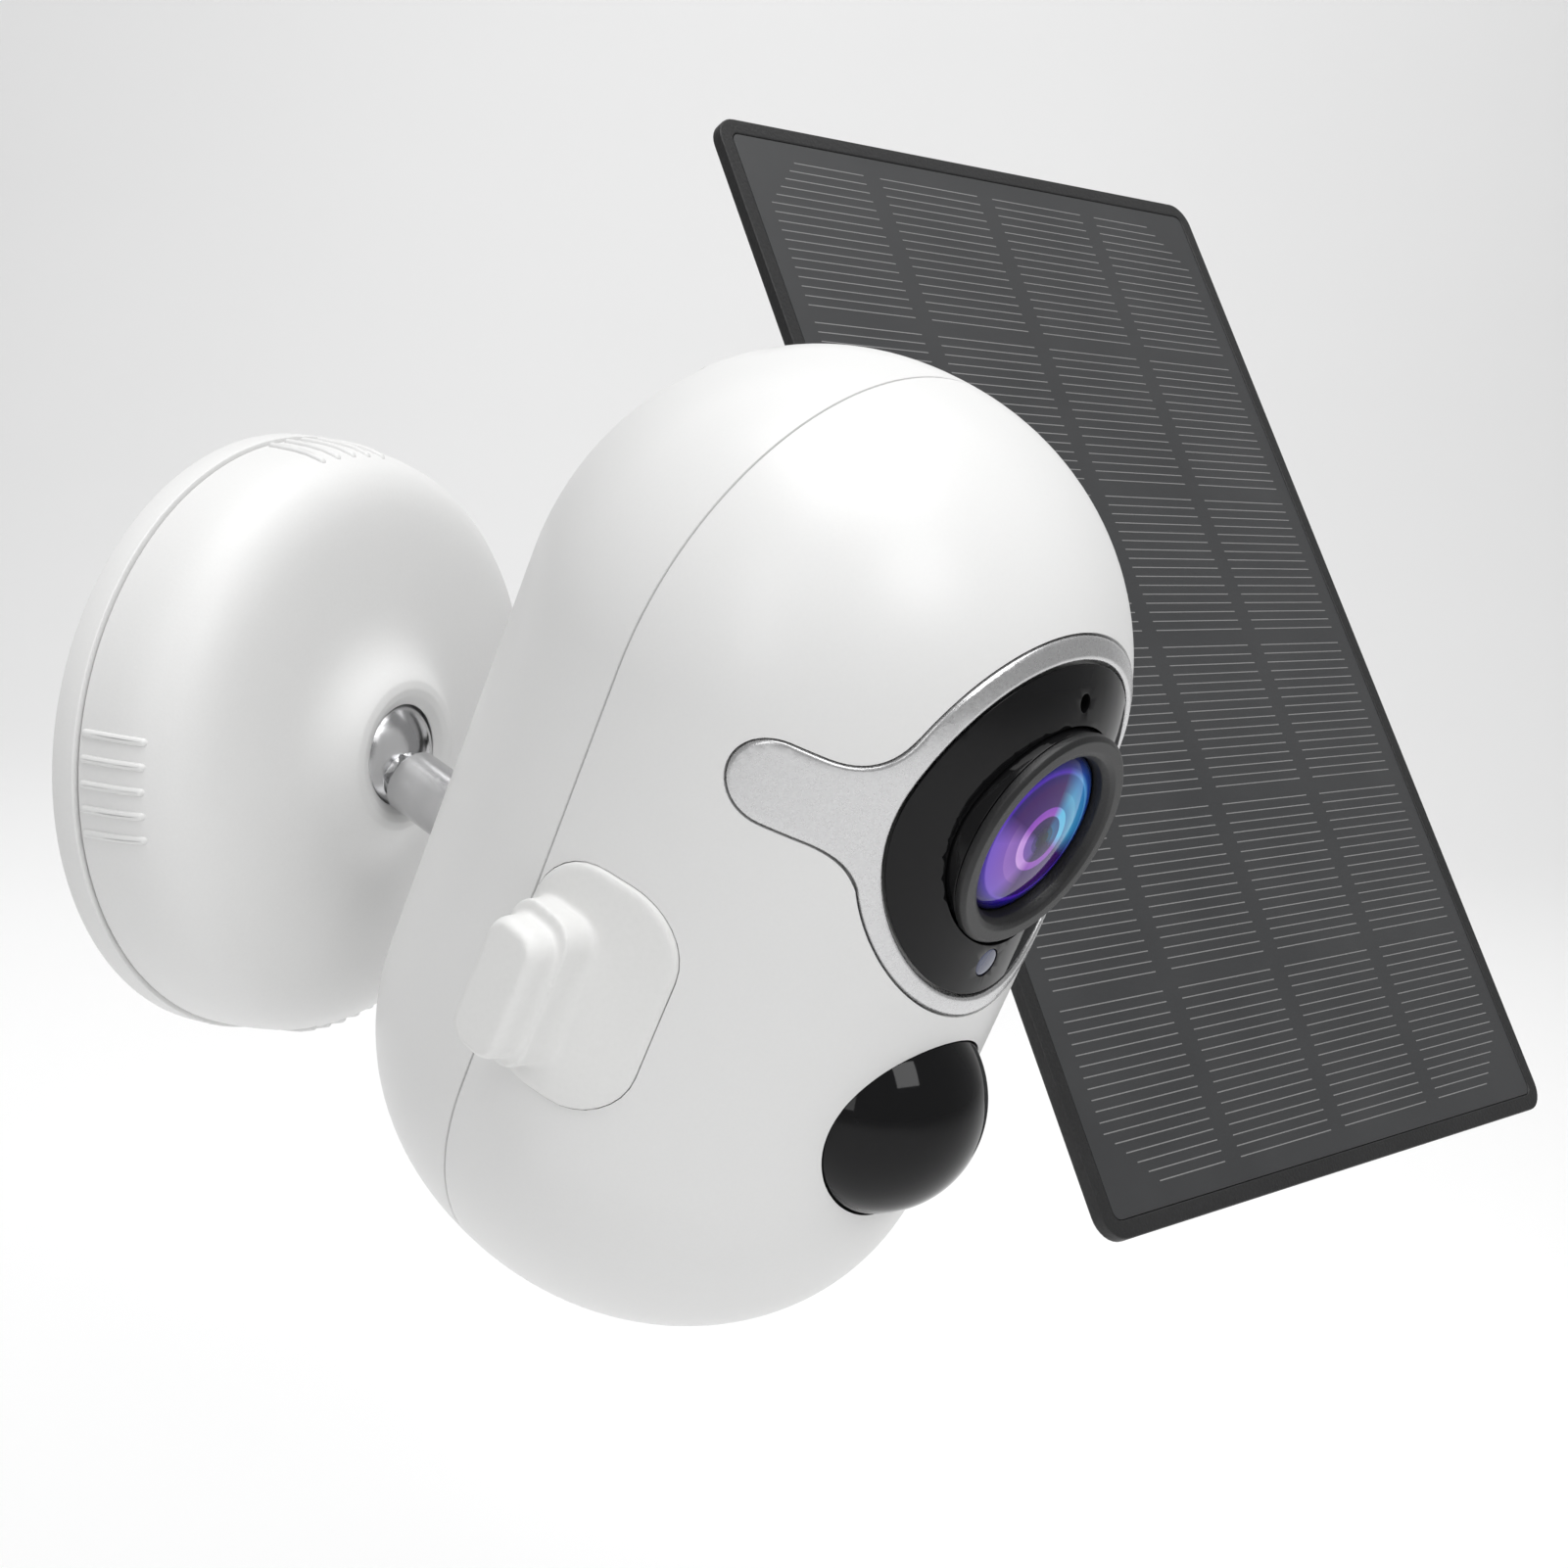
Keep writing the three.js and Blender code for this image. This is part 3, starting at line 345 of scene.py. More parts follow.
def head_rings(front, inset=0.0, rows=40):
    """Rings of points and of unit normals, from the seam to the pole, z counted from the seam."""
    cols, straight = BOUNDARY_COLS, STRAIGHT_STEPS
    power = FRONT_POWER if front else REAR_POWER
    depth_top = (TOP_DEPTH if front else REAR_DEPTH) - inset
    depth_low = (LOW_DEPTH if front else REAR_DEPTH) - inset

    def top(n):
        return lobe(n, TOP_Y, TOP_R - inset, depth_top, power)

    def low(n):
        return lobe(n, LOW_Y, LOW_R - inset, depth_low, power)

    def balance(n):
        return top(n)[0] - low(n)[0]

    ridge = root(lambda e: balance((0, math.sin(e), math.cos(e))), -0.5, 0.5)
    pole = np.array([0, math.sin(ridge), math.cos(ridge)])

    def normal(a, b):
        n = np.array([math.cos(a), math.sin(a), 0]) * math.cos(b) + pole * math.sin(b)
        return n / np.linalg.norm(n)

    points, normals = [], []
    for j in range(rows + 1):
        b = math.pi / 2 * j / rows
        a0 = 0.0 if j == rows else root(lambda a: balance(normal(a, b)), -0.5, 0.5)
        upper = [normal(a0 + (math.pi - 2 * a0) * i / cols, b) for i in range(cols + 1)]
        lower = [normal(math.pi - a0 + (math.pi + 2 * a0) * i / cols, b) for i in range(cols + 1)]
        up, lo = [top(n)[1] for n in upper], [low(n)[1] for n in lower]
        ring, ring_normals = list(up), list(upper)
        for start, end, n in ((up[-1], lo[0], upper[-1]), (lo[-1], up[0], lower[-1])):
            ring += [start + (end - start) * k / straight for k in range(1, straight)]
            ring_normals += [n] * (straight - 1)
            if start is up[-1]:
                ring += lo
                ring_normals += lower
        side = 1 if front else -1
        points.append(np.array(ring) * (1, 1, side))
        normals.append(np.array(ring_normals) * (1, 1, side))
    points[0][:, 2] = 0
    return points, normals


class Surface:
    """The head's uncut outer surface, to lay pieces on and to take normals from."""

    def __init__(self, *halves):
        v, faces = joined([loft(rings, cap=False) for rings, _ in halves])
        self.normals = np.concatenate([n for _, normals in halves for n in normals])
        self.faces = [[f[0], f[1], f[2]] for f in faces] + [[f[0], f[2], f[3]] for f in faces]
        self.verts = v
        self.tree = BVHTree.FromPolygons([tuple(p) for p in v], self.faces)

    def normal_at(self, point, index):
        a, b, c = (self.verts[i] for i in self.faces[index])
        m = np.column_stack([b - a, c - a])
        uv = np.linalg.lstsq(m, np.array(point) - a, rcond=None)[0]
        w = np.clip([1 - uv[0] - uv[1], uv[0], uv[1]], 0, 1)
        n = w @ self.normals[self.faces[index]]
        return n / np.linalg.norm(n)

    def hit(self, origin, direction):
        point, _, index, _ = self.tree.ray_cast(Vector(origin), Vector(direction))
        if point is None:
            point, _, index, _ = self.tree.find_nearest(Vector(origin))
        return np.array(point), self.normal_at(point, index)

    def nearest(self, point):
        found, _, index, distance = self.tree.find_nearest(Vector(point))
        return distance, self.normal_at(found, index)


front_rings, front_normals = head_rings(True)
rear_rings, rear_normals = head_rings(False)
for half in (front_rings, rear_rings):
    for ring_points in half:
        ring_points[:, 2] += SEAM
FRONT = Surface((front_rings, front_normals))
REAR = Surface((rear_rings, rear_normals))
WHOLE = Surface((front_rings, front_normals), (rear_rings, rear_normals))

FLANK = 34.0  # radius that p is unrolled from
MAX_TURN, MAX_SINE = 1.56, 0.999
OFF_EDGE = 3e-4  # keeps rays off the mesh edges at x = 0
OUT_FRONT, OUT_SIDE = 130, 80


def from_front(p, q):
    """The head's surface under (p, q): p runs round the head, q is its height."""
    x = FLANK * math.sin(max(-MAX_TURN, min(MAX_TURN, p / FLANK)))
    return FRONT.hit((x + OFF_EDGE, q, OUT_FRONT), (0, 0, -1))


def from_side(p, q):
    """The head's surface under (p, q) on its port side: p is the height, q the distance out."""
    return WHOLE.hit((-OUT_SIDE, p, q), (1, 0, 0))


def to_flank(points):
    """Points (x, y) seen from the front as (p, q)."""
    sines = [max(-MAX_SINE, min(MAX_SINE, x / FLANK)) for x, _ in points]
    return np.array([(FLANK * math.asin(sine), y) for sine, (_, y) in zip(sines, points)])


def inside(loop, points):
    """Which points lie in the closed loop."""
    x, y = points[:, 0], points[:, 1]
    result = np.zeros(len(points), bool)
    for (x0, y0), (x1, y1) in zip(loop, np.roll(loop, -1, axis=0)):
        if y0 == y1:
            continue
        crosses = ((y0 > y) != (y1 > y)) & (x < (x1 - x0) * (y - y0) / (y1 - y0) + x0)
        result ^= crosses
    return result


def offset_loop(loop, d):
    """The loop moved by d towards its left side, which is inwards when it runs anticlockwise."""
    before, after = np.roll(loop, 1, axis=0), np.roll(loop, -1, axis=0)
    along = after - before
    along /= np.linalg.norm(along, axis=1)[:, None]
    return loop + d * np.column_stack([-along[:, 1], along[:, 0]])


BEVEL_SHARES = (0.0, 0.12, 0.4, 1.0)


def patch(outline, holes, project, lift, thickness, bevel, spacing=1.2):
    """A plate that follows the head: outline and holes in (p, q), its edges rounded by bevel."""
    loops = [np.asarray(outline, float)] + [np.asarray(h, float)[::-1] for h in holes]
    verts, faces, inner = [], [], []

    def put(p, q, height):
        point, n = project(p, q)
        verts.append(point + n * height)
        return len(verts) - 1

    for loop in loops:
        rows = [[put(p, q, -thickness) for p, q in loop]]
        for share in BEVEL_SHARES:
            drop = bevel * (1 - math.sqrt(1 - (1 - share) ** 2))
            rows.append([put(p, q, lift - drop) for p, q in offset_loop(loop, bevel * share)])
        last = offset_loop(loop, bevel)
        rows.append([put(p, q, -thickness) for p, q in last])
        inner.append((last, rows[-2], rows[-1]))
        n = len(loop)
        for a, b in [*zip(rows, rows[1:-1]), (rows[-1], rows[0])]:
            faces += [[a[i], a[(i + 1) % n], b[(i + 1) % n], b[i]] for i in range(n)]

    low, high = inner[0][0].min(0), inner[0][0].max(0)
    xs, ys = (np.arange(low[k] + spacing / 2, high[k], spacing) for k in (0, 1))
    grid = np.array([
        (x + (spacing / 2 if j % 2 else 0), y) for j, y in enumerate(ys) for x in xs
    ])
    keep = inside(offset_loop(inner[0][0], spacing * 0.5), grid)
    for last, _, _ in inner[1:]:
        keep &= ~inside(offset_loop(last[::-1], -spacing * 0.5), grid)
    grid = grid[keep]
    flat = np.concatenate([last for last, _, _ in inner] + [grid])
    top = [i for _, t, _ in inner for i in t] + [put(p, q, lift) for p, q in grid]
    bottom = [i for _, _, b in inner for i in b] + [put(p, q, -thickness) for p, q in grid]
    edges, start = [], 0
    for last, _, _ in inner:
        n = len(last)
        edges += [(start + i, start + (i + 1) % n) for i in range(n)]
        start += n
    points = [Vector(p) for p in flat]
    out, _, triangles, origin, _, _ = delaunay_2d_cdt(points, edges, [], 0, 1e-6)
    names = [o[0] if o else None for o in origin]
    centres = np.array([np.mean([out[i] for i in t], axis=0) for t in triangles])
    keep = inside(inner[0][0], centres)
    for last, _, _ in inner[1:]:
        keep &= ~inside(last, centres)
    for t, kept in zip(triangles, keep):
        if kept and all(names[i] is not None for i in t):
            faces.append([top[names[i]] for i in t])
            faces.append([bottom[names[i]] for i in t][::-1])
    return np.array(verts), faces


ON_SURFACE, SAME_WAY = 0.12, 0.9  # millimetres off it, and cosine between the normals


def surface_normals(obj, matrix, surface):
    """Gives the faces on the head's surface its own smooth normals, so that the cuts don't show."""
    mesh = obj.data
    rotation = matrix[:3, :3]
    mesh.shade_smooth()
    mesh.set_sharp_from_angle(angle=math.radians(SHARP_DEG))
    normals = np.zeros(len(mesh.loops) * 3)
    mesh.corner_normals.foreach_get("vector", normals)
    normals = normals.reshape(-1, 3)
    cache = {}
    for face in mesh.polygons:
        distance, n = surface.nearest(to_local(matrix, face.center))
        if distance > ON_SURFACE or np.dot(rotation @ n, face.normal) < SAME_WAY:
            continue
        for k in face.loop_indices:
            i = mesh.loops[k].vertex_index
            if i not in cache:
                cache[i] = rotation @ surface.nearest(to_local(matrix, mesh.vertices[i].co))[1]
            normals[k] = cache[i]
    mesh.normals_split_custom_set([tuple(n) for n in normals])


# ---- Materials ----
RING_STRETCH = (1, 1, 40)
METAL_DARK = 0.93
LENS_RAMP_R = 9.0


class Nodes:
    """A small helper for building a material's nodes."""

    def __init__(self, name):
        self.material = bpy.data.materials.new(name)
        self.material.use_nodes = True
        self.tree = self.material.node_tree
        self.shader = self.tree.nodes["Principled BSDF"]

    def add(self, kind, inputs=None, **settings):
        node = self.tree.nodes.new(kind)
        for key, value in settings.items():
            setattr(node, key, value)
        for key, value in (inputs or {}).items():
            self.set(node.inputs[key], value)
        return node

    def set(self, socket, value):
        if isinstance(value, bpy.types.NodeSocket):
            self.tree.links.new(value, socket)
        else:
            socket.default_value = value

    def local(self):
        return self.add("ShaderNodeAttribute", attribute_name="local").outputs["Vector"]

    def space(self):
        return self.add("ShaderNodeTexCoord").outputs["Object"]

    def noise(self, vector, scale, detail=2.0, stretch=None):
        if stretch:
            scaled = self.add("ShaderNodeVectorMath", {0: vector, 1: stretch}, operation="MULTIPLY")
            vector = scaled.outputs[0]
        node = self.add("ShaderNodeTexNoise", {"Vector": vector, "Scale": scale, "Detail": detail})
        return node.outputs["Fac"]

    def span(self, value, low, high, start=0.3, end=0.7):
        node = self.add("ShaderNodeMapRange", {
            "Value": value, "From Min": start, "From Max": end,
            "To Min": low, "To Max": high,
        })
        return node.outputs["Result"]

    def math(self, operation, a, b=0.0):
        return self.add("ShaderNodeMath", {0: a, 1: b}, operation=operation).outputs[0]

    def mix(self, share, a, b):
        node = self.add("ShaderNodeMix", data_type="RGBA")
        self.set(node.inputs["Factor"], share)
        self.set(node.inputs[6], a)
        self.set(node.inputs[7], b)
        return node.outputs[2]

    def bump(self, height, distance, strength=1.0):
        inputs = {"Height": height, "Distance": distance, "Strength": strength}
        node = self.add("ShaderNodeBump", inputs)
        self.set(self.shader.inputs["Normal"], node.outputs["Normal"])

    def finish(self, **values):
        names = {
            "metal": "Metallic", "rough": "Roughness", "color": "Base Color",
            "coat": "Coat Weight", "coat_rough": "Coat Roughness", "specular": "Specular IOR Level",
        }
        for key, value in values.items():
            self.set(self.shader.inputs[names[key]], value)
        return self.material


def grey(v):
    return (v, v, v, 1)


def shaded(color, share):
    """The colour made darker or lighter by a share, as RGBA."""
    return (*(min(1, c * share) for c in color), 1)


def moulded(name, color, rough, grain, depth, vary, **extra):
    """Moulded or painted surface: fine grain in the relief, slow changes in tone and gloss."""
    m = Nodes(name)
    at = m.space()
    slow = m.noise(at, 40, 3)
    fine = m.noise(at, grain, 3)
    tone = m.math("ADD", m.math("MULTIPLY", slow, 0.5), m.math("MULTIPLY", fine, 0.5))
    m.bump(fine, depth)
    return m.finish(
        color=m.mix(m.span(tone, 0, 1), shaded(color, 1 - vary), shaded(color, 1 + vary)),
        rough=m.span(slow, rough * 0.92, rough * 1.08), **extra)


def turned_steel(name, color, rough):
    """Machined metal with fine rings round its axis."""
    m = Nodes(name)
    lines = m.noise(m.local(), 1.2, 4, RING_STRETCH)
    slow = m.noise(m.local(), 0.25, 2)
    m.bump(lines, 0.00001, 0.6)
    return m.finish(
        color=m.mix(m.span(slow, 0, 1), shaded(color, METAL_DARK), shaded(color, 1)), metal=1.0,
        rough=m.span(lines, rough * 0.8, rough * 1.3))


def flaked(name, color, rough):
    """Metallic paint: bright flakes of a quarter of a millimetre."""
    m = Nodes(name)
    at = m.space()
    flakes = m.add("ShaderNodeTexVoronoi", {"Vector": at, "Scale": 4200}, feature="F1")
    sparkle = m.add("ShaderNodeSeparateColor", {0: flakes.outputs["Color"]}).outputs[0]
    fine = m.noise(at, 2600, 3)
    m.bump(fine, 0.00003, 0.6)
    return m.finish(
        color=m.mix(m.span(sparkle, 0, 1, 0, 1), shaded(color, METAL_DARK), shaded(color, 1)),
        metal=0.9, rough=m.span(sparkle, rough * 0.95, rough * 1.08, 0, 1))


def lens_with_painted_reflections():
    """Coated glass with painted reflections: rings of the elements behind it, lilac on one side and
    blue on the other, and painted darker in two lobes.
    """
    m = Nodes("lens painted reflections")
    split = m.add("ShaderNodeSeparateXYZ", {0: m.local()})
    x, y = split.outputs[0], split.outputs[1]
    radius = m.math("SQRT", m.math("ADD", m.math("MULTIPLY", x, x), m.math("MULTIPLY", y, y)))
    angle = m.math("ARCTAN2", y, x)
    turned_by = m.math("SUBTRACT", angle, 0.55)
    side = m.math("COSINE", turned_by)
    lobes = m.math("COSINE", m.math("MULTIPLY", turned_by, 2.0))

    def ramp(stops):
        node = m.add("ShaderNodeValToRGB", {0: m.math("DIVIDE", radius, LENS_RAMP_R)})
        elements = node.color_ramp.elements
        while len(elements) < len(stops):
            elements.new(0.5)
        for element, (r, color) in zip(elements, sorted(stops)):
            element.position = r / LENS_RAMP_R
            element.color = (*color, 1)
        return node.outputs[0]

    # painted reflections: the bright lilac and blue rings are reflections of the elements behind
    # the glass, put into the base colour
    lilac = ramp([
        (0.0, (0.003, 0.006, 0.03)), (0.9, (0.006, 0.012, 0.06)), (1.0, (0.06, 0.03, 0.20)),
        (1.5, (0.07, 0.04, 0.24)), (1.6, (0.16, 0.08, 0.42)), (2.6, (0.22, 0.09, 0.50)),
        (2.7, (0.66, 0.34, 0.92)), (3.6, (0.74, 0.42, 0.96)), (3.7, (0.28, 0.12, 0.56)),
        (5.2, (0.36, 0.17, 0.66)), (5.3, (0.26, 0.11, 0.60)), (7.3, (0.24, 0.12, 0.74)),
        (7.5, (0.07, 0.02, 0.46)), (8.2, (0.02, 0.006, 0.20)), (9.0, (0.002, 0.002, 0.015)),
    ])
    blue = ramp([
        (0.0, (0.001, 0.015, 0.03)), (0.9, (0.002, 0.03, 0.05)), (1.0, (0.005, 0.10, 0.20)),
        (1.5, (0.005, 0.06, 0.14)), (1.6, (0.01, 0.15, 0.36)), (2.6, (0.01, 0.08, 0.28)),
        (2.7, (0.14, 0.62, 1.0)), (3.6, (0.12, 0.66, 1.0)), (3.7, (0.03, 0.26, 0.56)),
        (5.2, (0.10, 0.50, 0.80)), (5.3, (0.05, 0.38, 0.70)), (7.0, (0.03, 0.26, 0.66)),
        (7.2, (0.14, 0.50, 0.98)), (7.8, (0.01, 0.08, 0.46)), (9.0, (0.002, 0.003, 0.015)),
    ])
    # painted shade: darker rings for the two lobes where the glass reflects little
    painted_dark_lobes = ramp([
        (0.0, (0.001, 0.002, 0.01)), (1.0, (0.01, 0.004, 0.06)), (2.6, (0.03, 0.004, 0.12)),
        (2.7, (0.36, 0.08, 0.62)), (3.6, (0.30, 0.06, 0.60)), (3.7, (0.05, 0.003, 0.16)),
        (6.0, (0.05, 0.001, 0.14)), (7.0, (0.02, 0.001, 0.16)), (7.3, (0.10, 0.02, 0.60)),
        (7.8, (0.01, 0.003, 0.24)), (9.0, (0.002, 0.002, 0.015)),
    ])
    # painted reflection: lilac on one side and blue on the other, with the painted dark lobes
    # between
    lit = m.mix(m.span(side, 0, 1, -0.45, 0.45), lilac, blue)
    color = m.mix(m.span(lobes, 0, 1, -0.35, 0.55), painted_dark_lobes, lit)
    return m.finish(
        color=color, rough=m.span(m.noise(m.local(), 3, 2), 0.04, 0.07),
        coat=0.12, coat_rough=0.02, specular=0.2)


def cell_material():
    """Laminated cells: near-black blue-grey, with slow and fine changes in tone."""
    m = Nodes("solar cells")
    at = m.local()
    grain = m.noise(at, 9, 3)
    slow = m.noise(at, 0.05, 2)
    m.bump(grain, 0.00001, 0.5)
    tone = m.math("ADD", m.math("MULTIPLY", grain, 0.25), m.math("MULTIPLY", slow, 0.75))
    return m.finish(
        color=m.mix(m.span(tone, 0, 1), (0.030, 0.031, 0.033, 1), (0.040, 0.041, 0.043, 1)),
        rough=m.span(slow, 0.34, 0.42), coat=0.25, coat_rough=0.22)


def board_material():
    """Circuit board: solder mask with lighter tracks."""
    m = Nodes("circuit board")
    bricks = m.add("ShaderNodeTexBrick", {
        "Vector": m.local(), "Scale": 0.35, "Mortar Size": 0.03,
        "Color1": (0.01, 0.10, 0.04, 1), "Color2": (0.012, 0.12, 0.05, 1),
        "Mortar": (0.03, 0.22, 0.09, 1),
    })
    m.bump(bricks.outputs["Fac"], 0.00002)
    return m.finish(color=bricks.outputs["Color"], rough=m.span(m.noise(m.local(), 2), 0.35, 0.45))


# name, colour, roughness, grain per metre, relief in metres, share by which the tone varies
SHELL = moulded("shell white", (0.83, 0.83, 0.825), 0.34, 3000, 0.000004, 0.012)
BASE_WHITE = moulded("base white", (0.80, 0.80, 0.795), 0.46, 2600, 0.000010, 0.015)
SILICONE = moulded("white silicone", (0.84, 0.84, 0.83), 0.50, 1800, 0.000010, 0.02)
SILVER = flaked("satin silver", (0.70, 0.70, 0.705), 0.28)
BLACK_GLOSS = moulded(
    "black gloss", (0.006, 0.006, 0.0065), 0.06, 500, 0.000001, 0.1, specular=0.24)
BLACK_SATIN = moulded("black satin", (0.012, 0.012, 0.0125), 0.40, 5200, 0.00004, 0.2)
STEEL = turned_steel("turned steel", (0.60, 0.60, 0.61), 0.13)
SCREW_STEEL = turned_steel("screw steel", (0.55, 0.55, 0.57), 0.3)
BRASS = turned_steel("brass", (0.68, 0.48, 0.20), 0.3)
GRIP = moulded("friction plastic", (0.30, 0.30, 0.32), 0.5, 1500, 0.00002, 0.06)
RUBBER = moulded("black rubber", (0.02, 0.02, 0.02), 0.75, 1400, 0.00004, 0.15)
CHIP = moulded("black moulding", (0.02, 0.02, 0.022), 0.5, 2000, 0.00002, 0.15)
FILM = moulded("cell wrap", (0.05, 0.20, 0.48), 0.32, 300, 0.00003, 0.08, coat=0.3)
BUTTON = moulded("grey button", (0.28, 0.28, 0.30), 0.5, 2200, 0.00002, 0.05)
FRAME_BLACK = moulded(
    "black textured frame", (0.013, 0.013, 0.0135), 0.48, 2100, 0.00008, 0.35)
SENSOR = moulded("tinted window", (0.035, 0.045, 0.11), 0.12, 900, 0.000002, 0.15, coat=0.7)
LINES = moulded("cell lines", (0.23, 0.23, 0.23), 0.4, 2000, 0.000004, 0.10)
FILTER = moulded("filter glass", (0.16, 0.42, 0.42), 0.08, 400, 0.000001, 0.04, coat=1.0)
# the lens's base colour holds painted reflections and painted shade
LENS = lens_with_painted_reflections()
CELLS = cell_material()
BOARD = board_material()


# ---- Camera, floor and light ----
EYE = (-229.3, -195.1, 49.6)
RIGHT = (0.47882, -0.87408, 0.08199)
DOWN = (-0.11139, -0.15313, -0.98191)
FORWARD = (0.87082, 0.46103, -0.17068)
FOCAL_PX, FRAME_PX, SENSOR_MM = 2400.0, 1601.0, 36.0
FLOOR_Z, WORLD_STRENGTH = -0.30, 0.33


def make_camera():
    data = bpy.data.cameras.new("camera")
    data.sensor_width = SENSOR_MM
    data.lens = FOCAL_PX / FRAME_PX * SENSOR_MM
    data.clip_start, data.clip_end = 0.01, 20
    obj = linked("camera", data)
    axes = Matrix([RIGHT, [-c for c in DOWN], [-c for c in FORWARD]]).transposed()
    obj.matrix_world = Matrix.Translation(Vector(EYE) * MM) @ axes.normalized().to_4x4()
    bpy.context.scene.camera = obj
    bpy.context.scene.view_settings.view_transform = "Standard"


def area_light(name, place, target, size, power):
    """A soft box at place that points at target. size is (width, height) in metres."""
    data = bpy.data.lights.new(name, "AREA")
    data.shape = "RECTANGLE"
    data.size, data.size_y = size
    data.energy = power
    obj = linked(name, data)
    obj.location = place
    obj.rotation_euler = (Vector(target) - Vector(place)).to_track_quat("-Z", "Y").to_euler()


def make_stage():
    """A pale floor that curves up into a pale backdrop behind the object."""
    away = Vector((FORWARD[0], FORWARD[1], 0)).normalized()
    across = Vector((-away.y, away.x, 0))
    near, far, bend, height, half = -3.0, 1.6, 1.0, 4.0, 5.0
    profile = [(near, 0.0), (far, 0.0)]
    profile += [(far + bend * math.sin(a), bend - bend * math.cos(a))
                for a in np.linspace(0.1, math.pi / 2, 12)]
    profile.append((far + bend, height))
    verts, faces = [], []
    for d, h in profile:
        for w in (-half, half):
            verts.append(away * d + across * w + Vector((0, 0, FLOOR_Z + h)))
    for i in range(len(profile) - 1):
        faces.append([2 * i, 2 * i + 1, 2 * i + 3, 2 * i + 2])
    mesh = bpy.data.meshes.new("floor")
    mesh.from_pydata(verts, [], faces)
    mesh.shade_smooth()
    floor = linked("floor", mesh)
    m = Nodes("pale floor")
    color = m.mix(m.noise(m.space(), 3), grey(0.93), grey(0.95))
    mesh.materials.append(m.finish(color=color, rough=0.8))

    world = bpy.data.worlds.new("studio")
    bpy.context.scene.world = world
    world.use_nodes = True
    background = world.node_tree.nodes["Background"]
    background.inputs[0].default_value = grey(1.0)
    background.inputs[1].default_value = WORLD_STRENGTH
    centre = (0.03, -0.06, 0.0)
    area_light("top", (-0.15, -0.25, 1.25), centre, (1.0, 1.0), 12.0)
    area_light("key", (-0.45, -0.95, 0.75), centre, (0.5, 0.5), 3.4)
    area_light("left", (-1.2, -0.1, 0.45), centre, (0.3, 0.9), 1.7)
    beyond = away * 0.75 + Vector((0, 0, 1.3))
    area_light("backdrop", beyond, away * 2.4 + Vector((0, 0, 0.1)), (1.6, 1.6), 17.0)


# ---- Camera wall base ----
WALL_SCREWS = 3


def screw_holes(circle, radius, head, floor, top):
    """Cuts for wall screws on a circle: a hole, countersunk from floor to the head's radius."""
    tools = []
    sink = [
        (0, floor), (radius, floor), (head, floor + head - radius), (head, top + 2), (0, top + 2),
    ]
    for i in range(WALL_SCREWS):
        a = math.pi / 2 + i * 2 * math.pi / WALL_SCREWS
        x, y = circle * math.cos(a), circle * math.sin(a)
        tools.append(("DIFFERENCE", rod(radius, -2, top + 2, x, y)))
        tools.append(("DIFFERENCE", lathe(sink, 32, radius=0, centre=(x, y))))
    return tools


RIB_LENGTH, RIB_WIDTH, RIB_HEIGHT, RIB_MIDDLE = 8.4, 0.95, 0.42, 8.2
RIB_GROUPS, RIBS_IN_GROUP, FIRST_GROUP_DEG, RIB_PITCH_DEG = 4, 5, 183, 4.5
RIB_SECTION = ((1.0, -0.6), (1.0, 0.25), (0.8, 0.7), (0.45, 0.95), (0.1, 1.0))  # width, height


def grip_rib():
    """A low bar with round ends, along z, standing out along x."""
    rings = []
    reach = RIB_LENGTH / 2 - RIB_WIDTH / 2
    steps = [reach * (1 - k / 4) for k in range(1, 8)]
    for share, h in RIB_SECTION:
        r = RIB_WIDTH / 2 * share
        outline = arc(0, reach, r, 0, math.pi, 8) + [(-r, z) for z in steps]
        outline += arc(0, -reach, r, math.pi, 2 * math.pi, 8) + [(r, -z) for z in steps]
        rings.append([(h * RIB_HEIGHT, y, z + RIB_MIDDLE) for y, z in outline])
    return loft(rings)


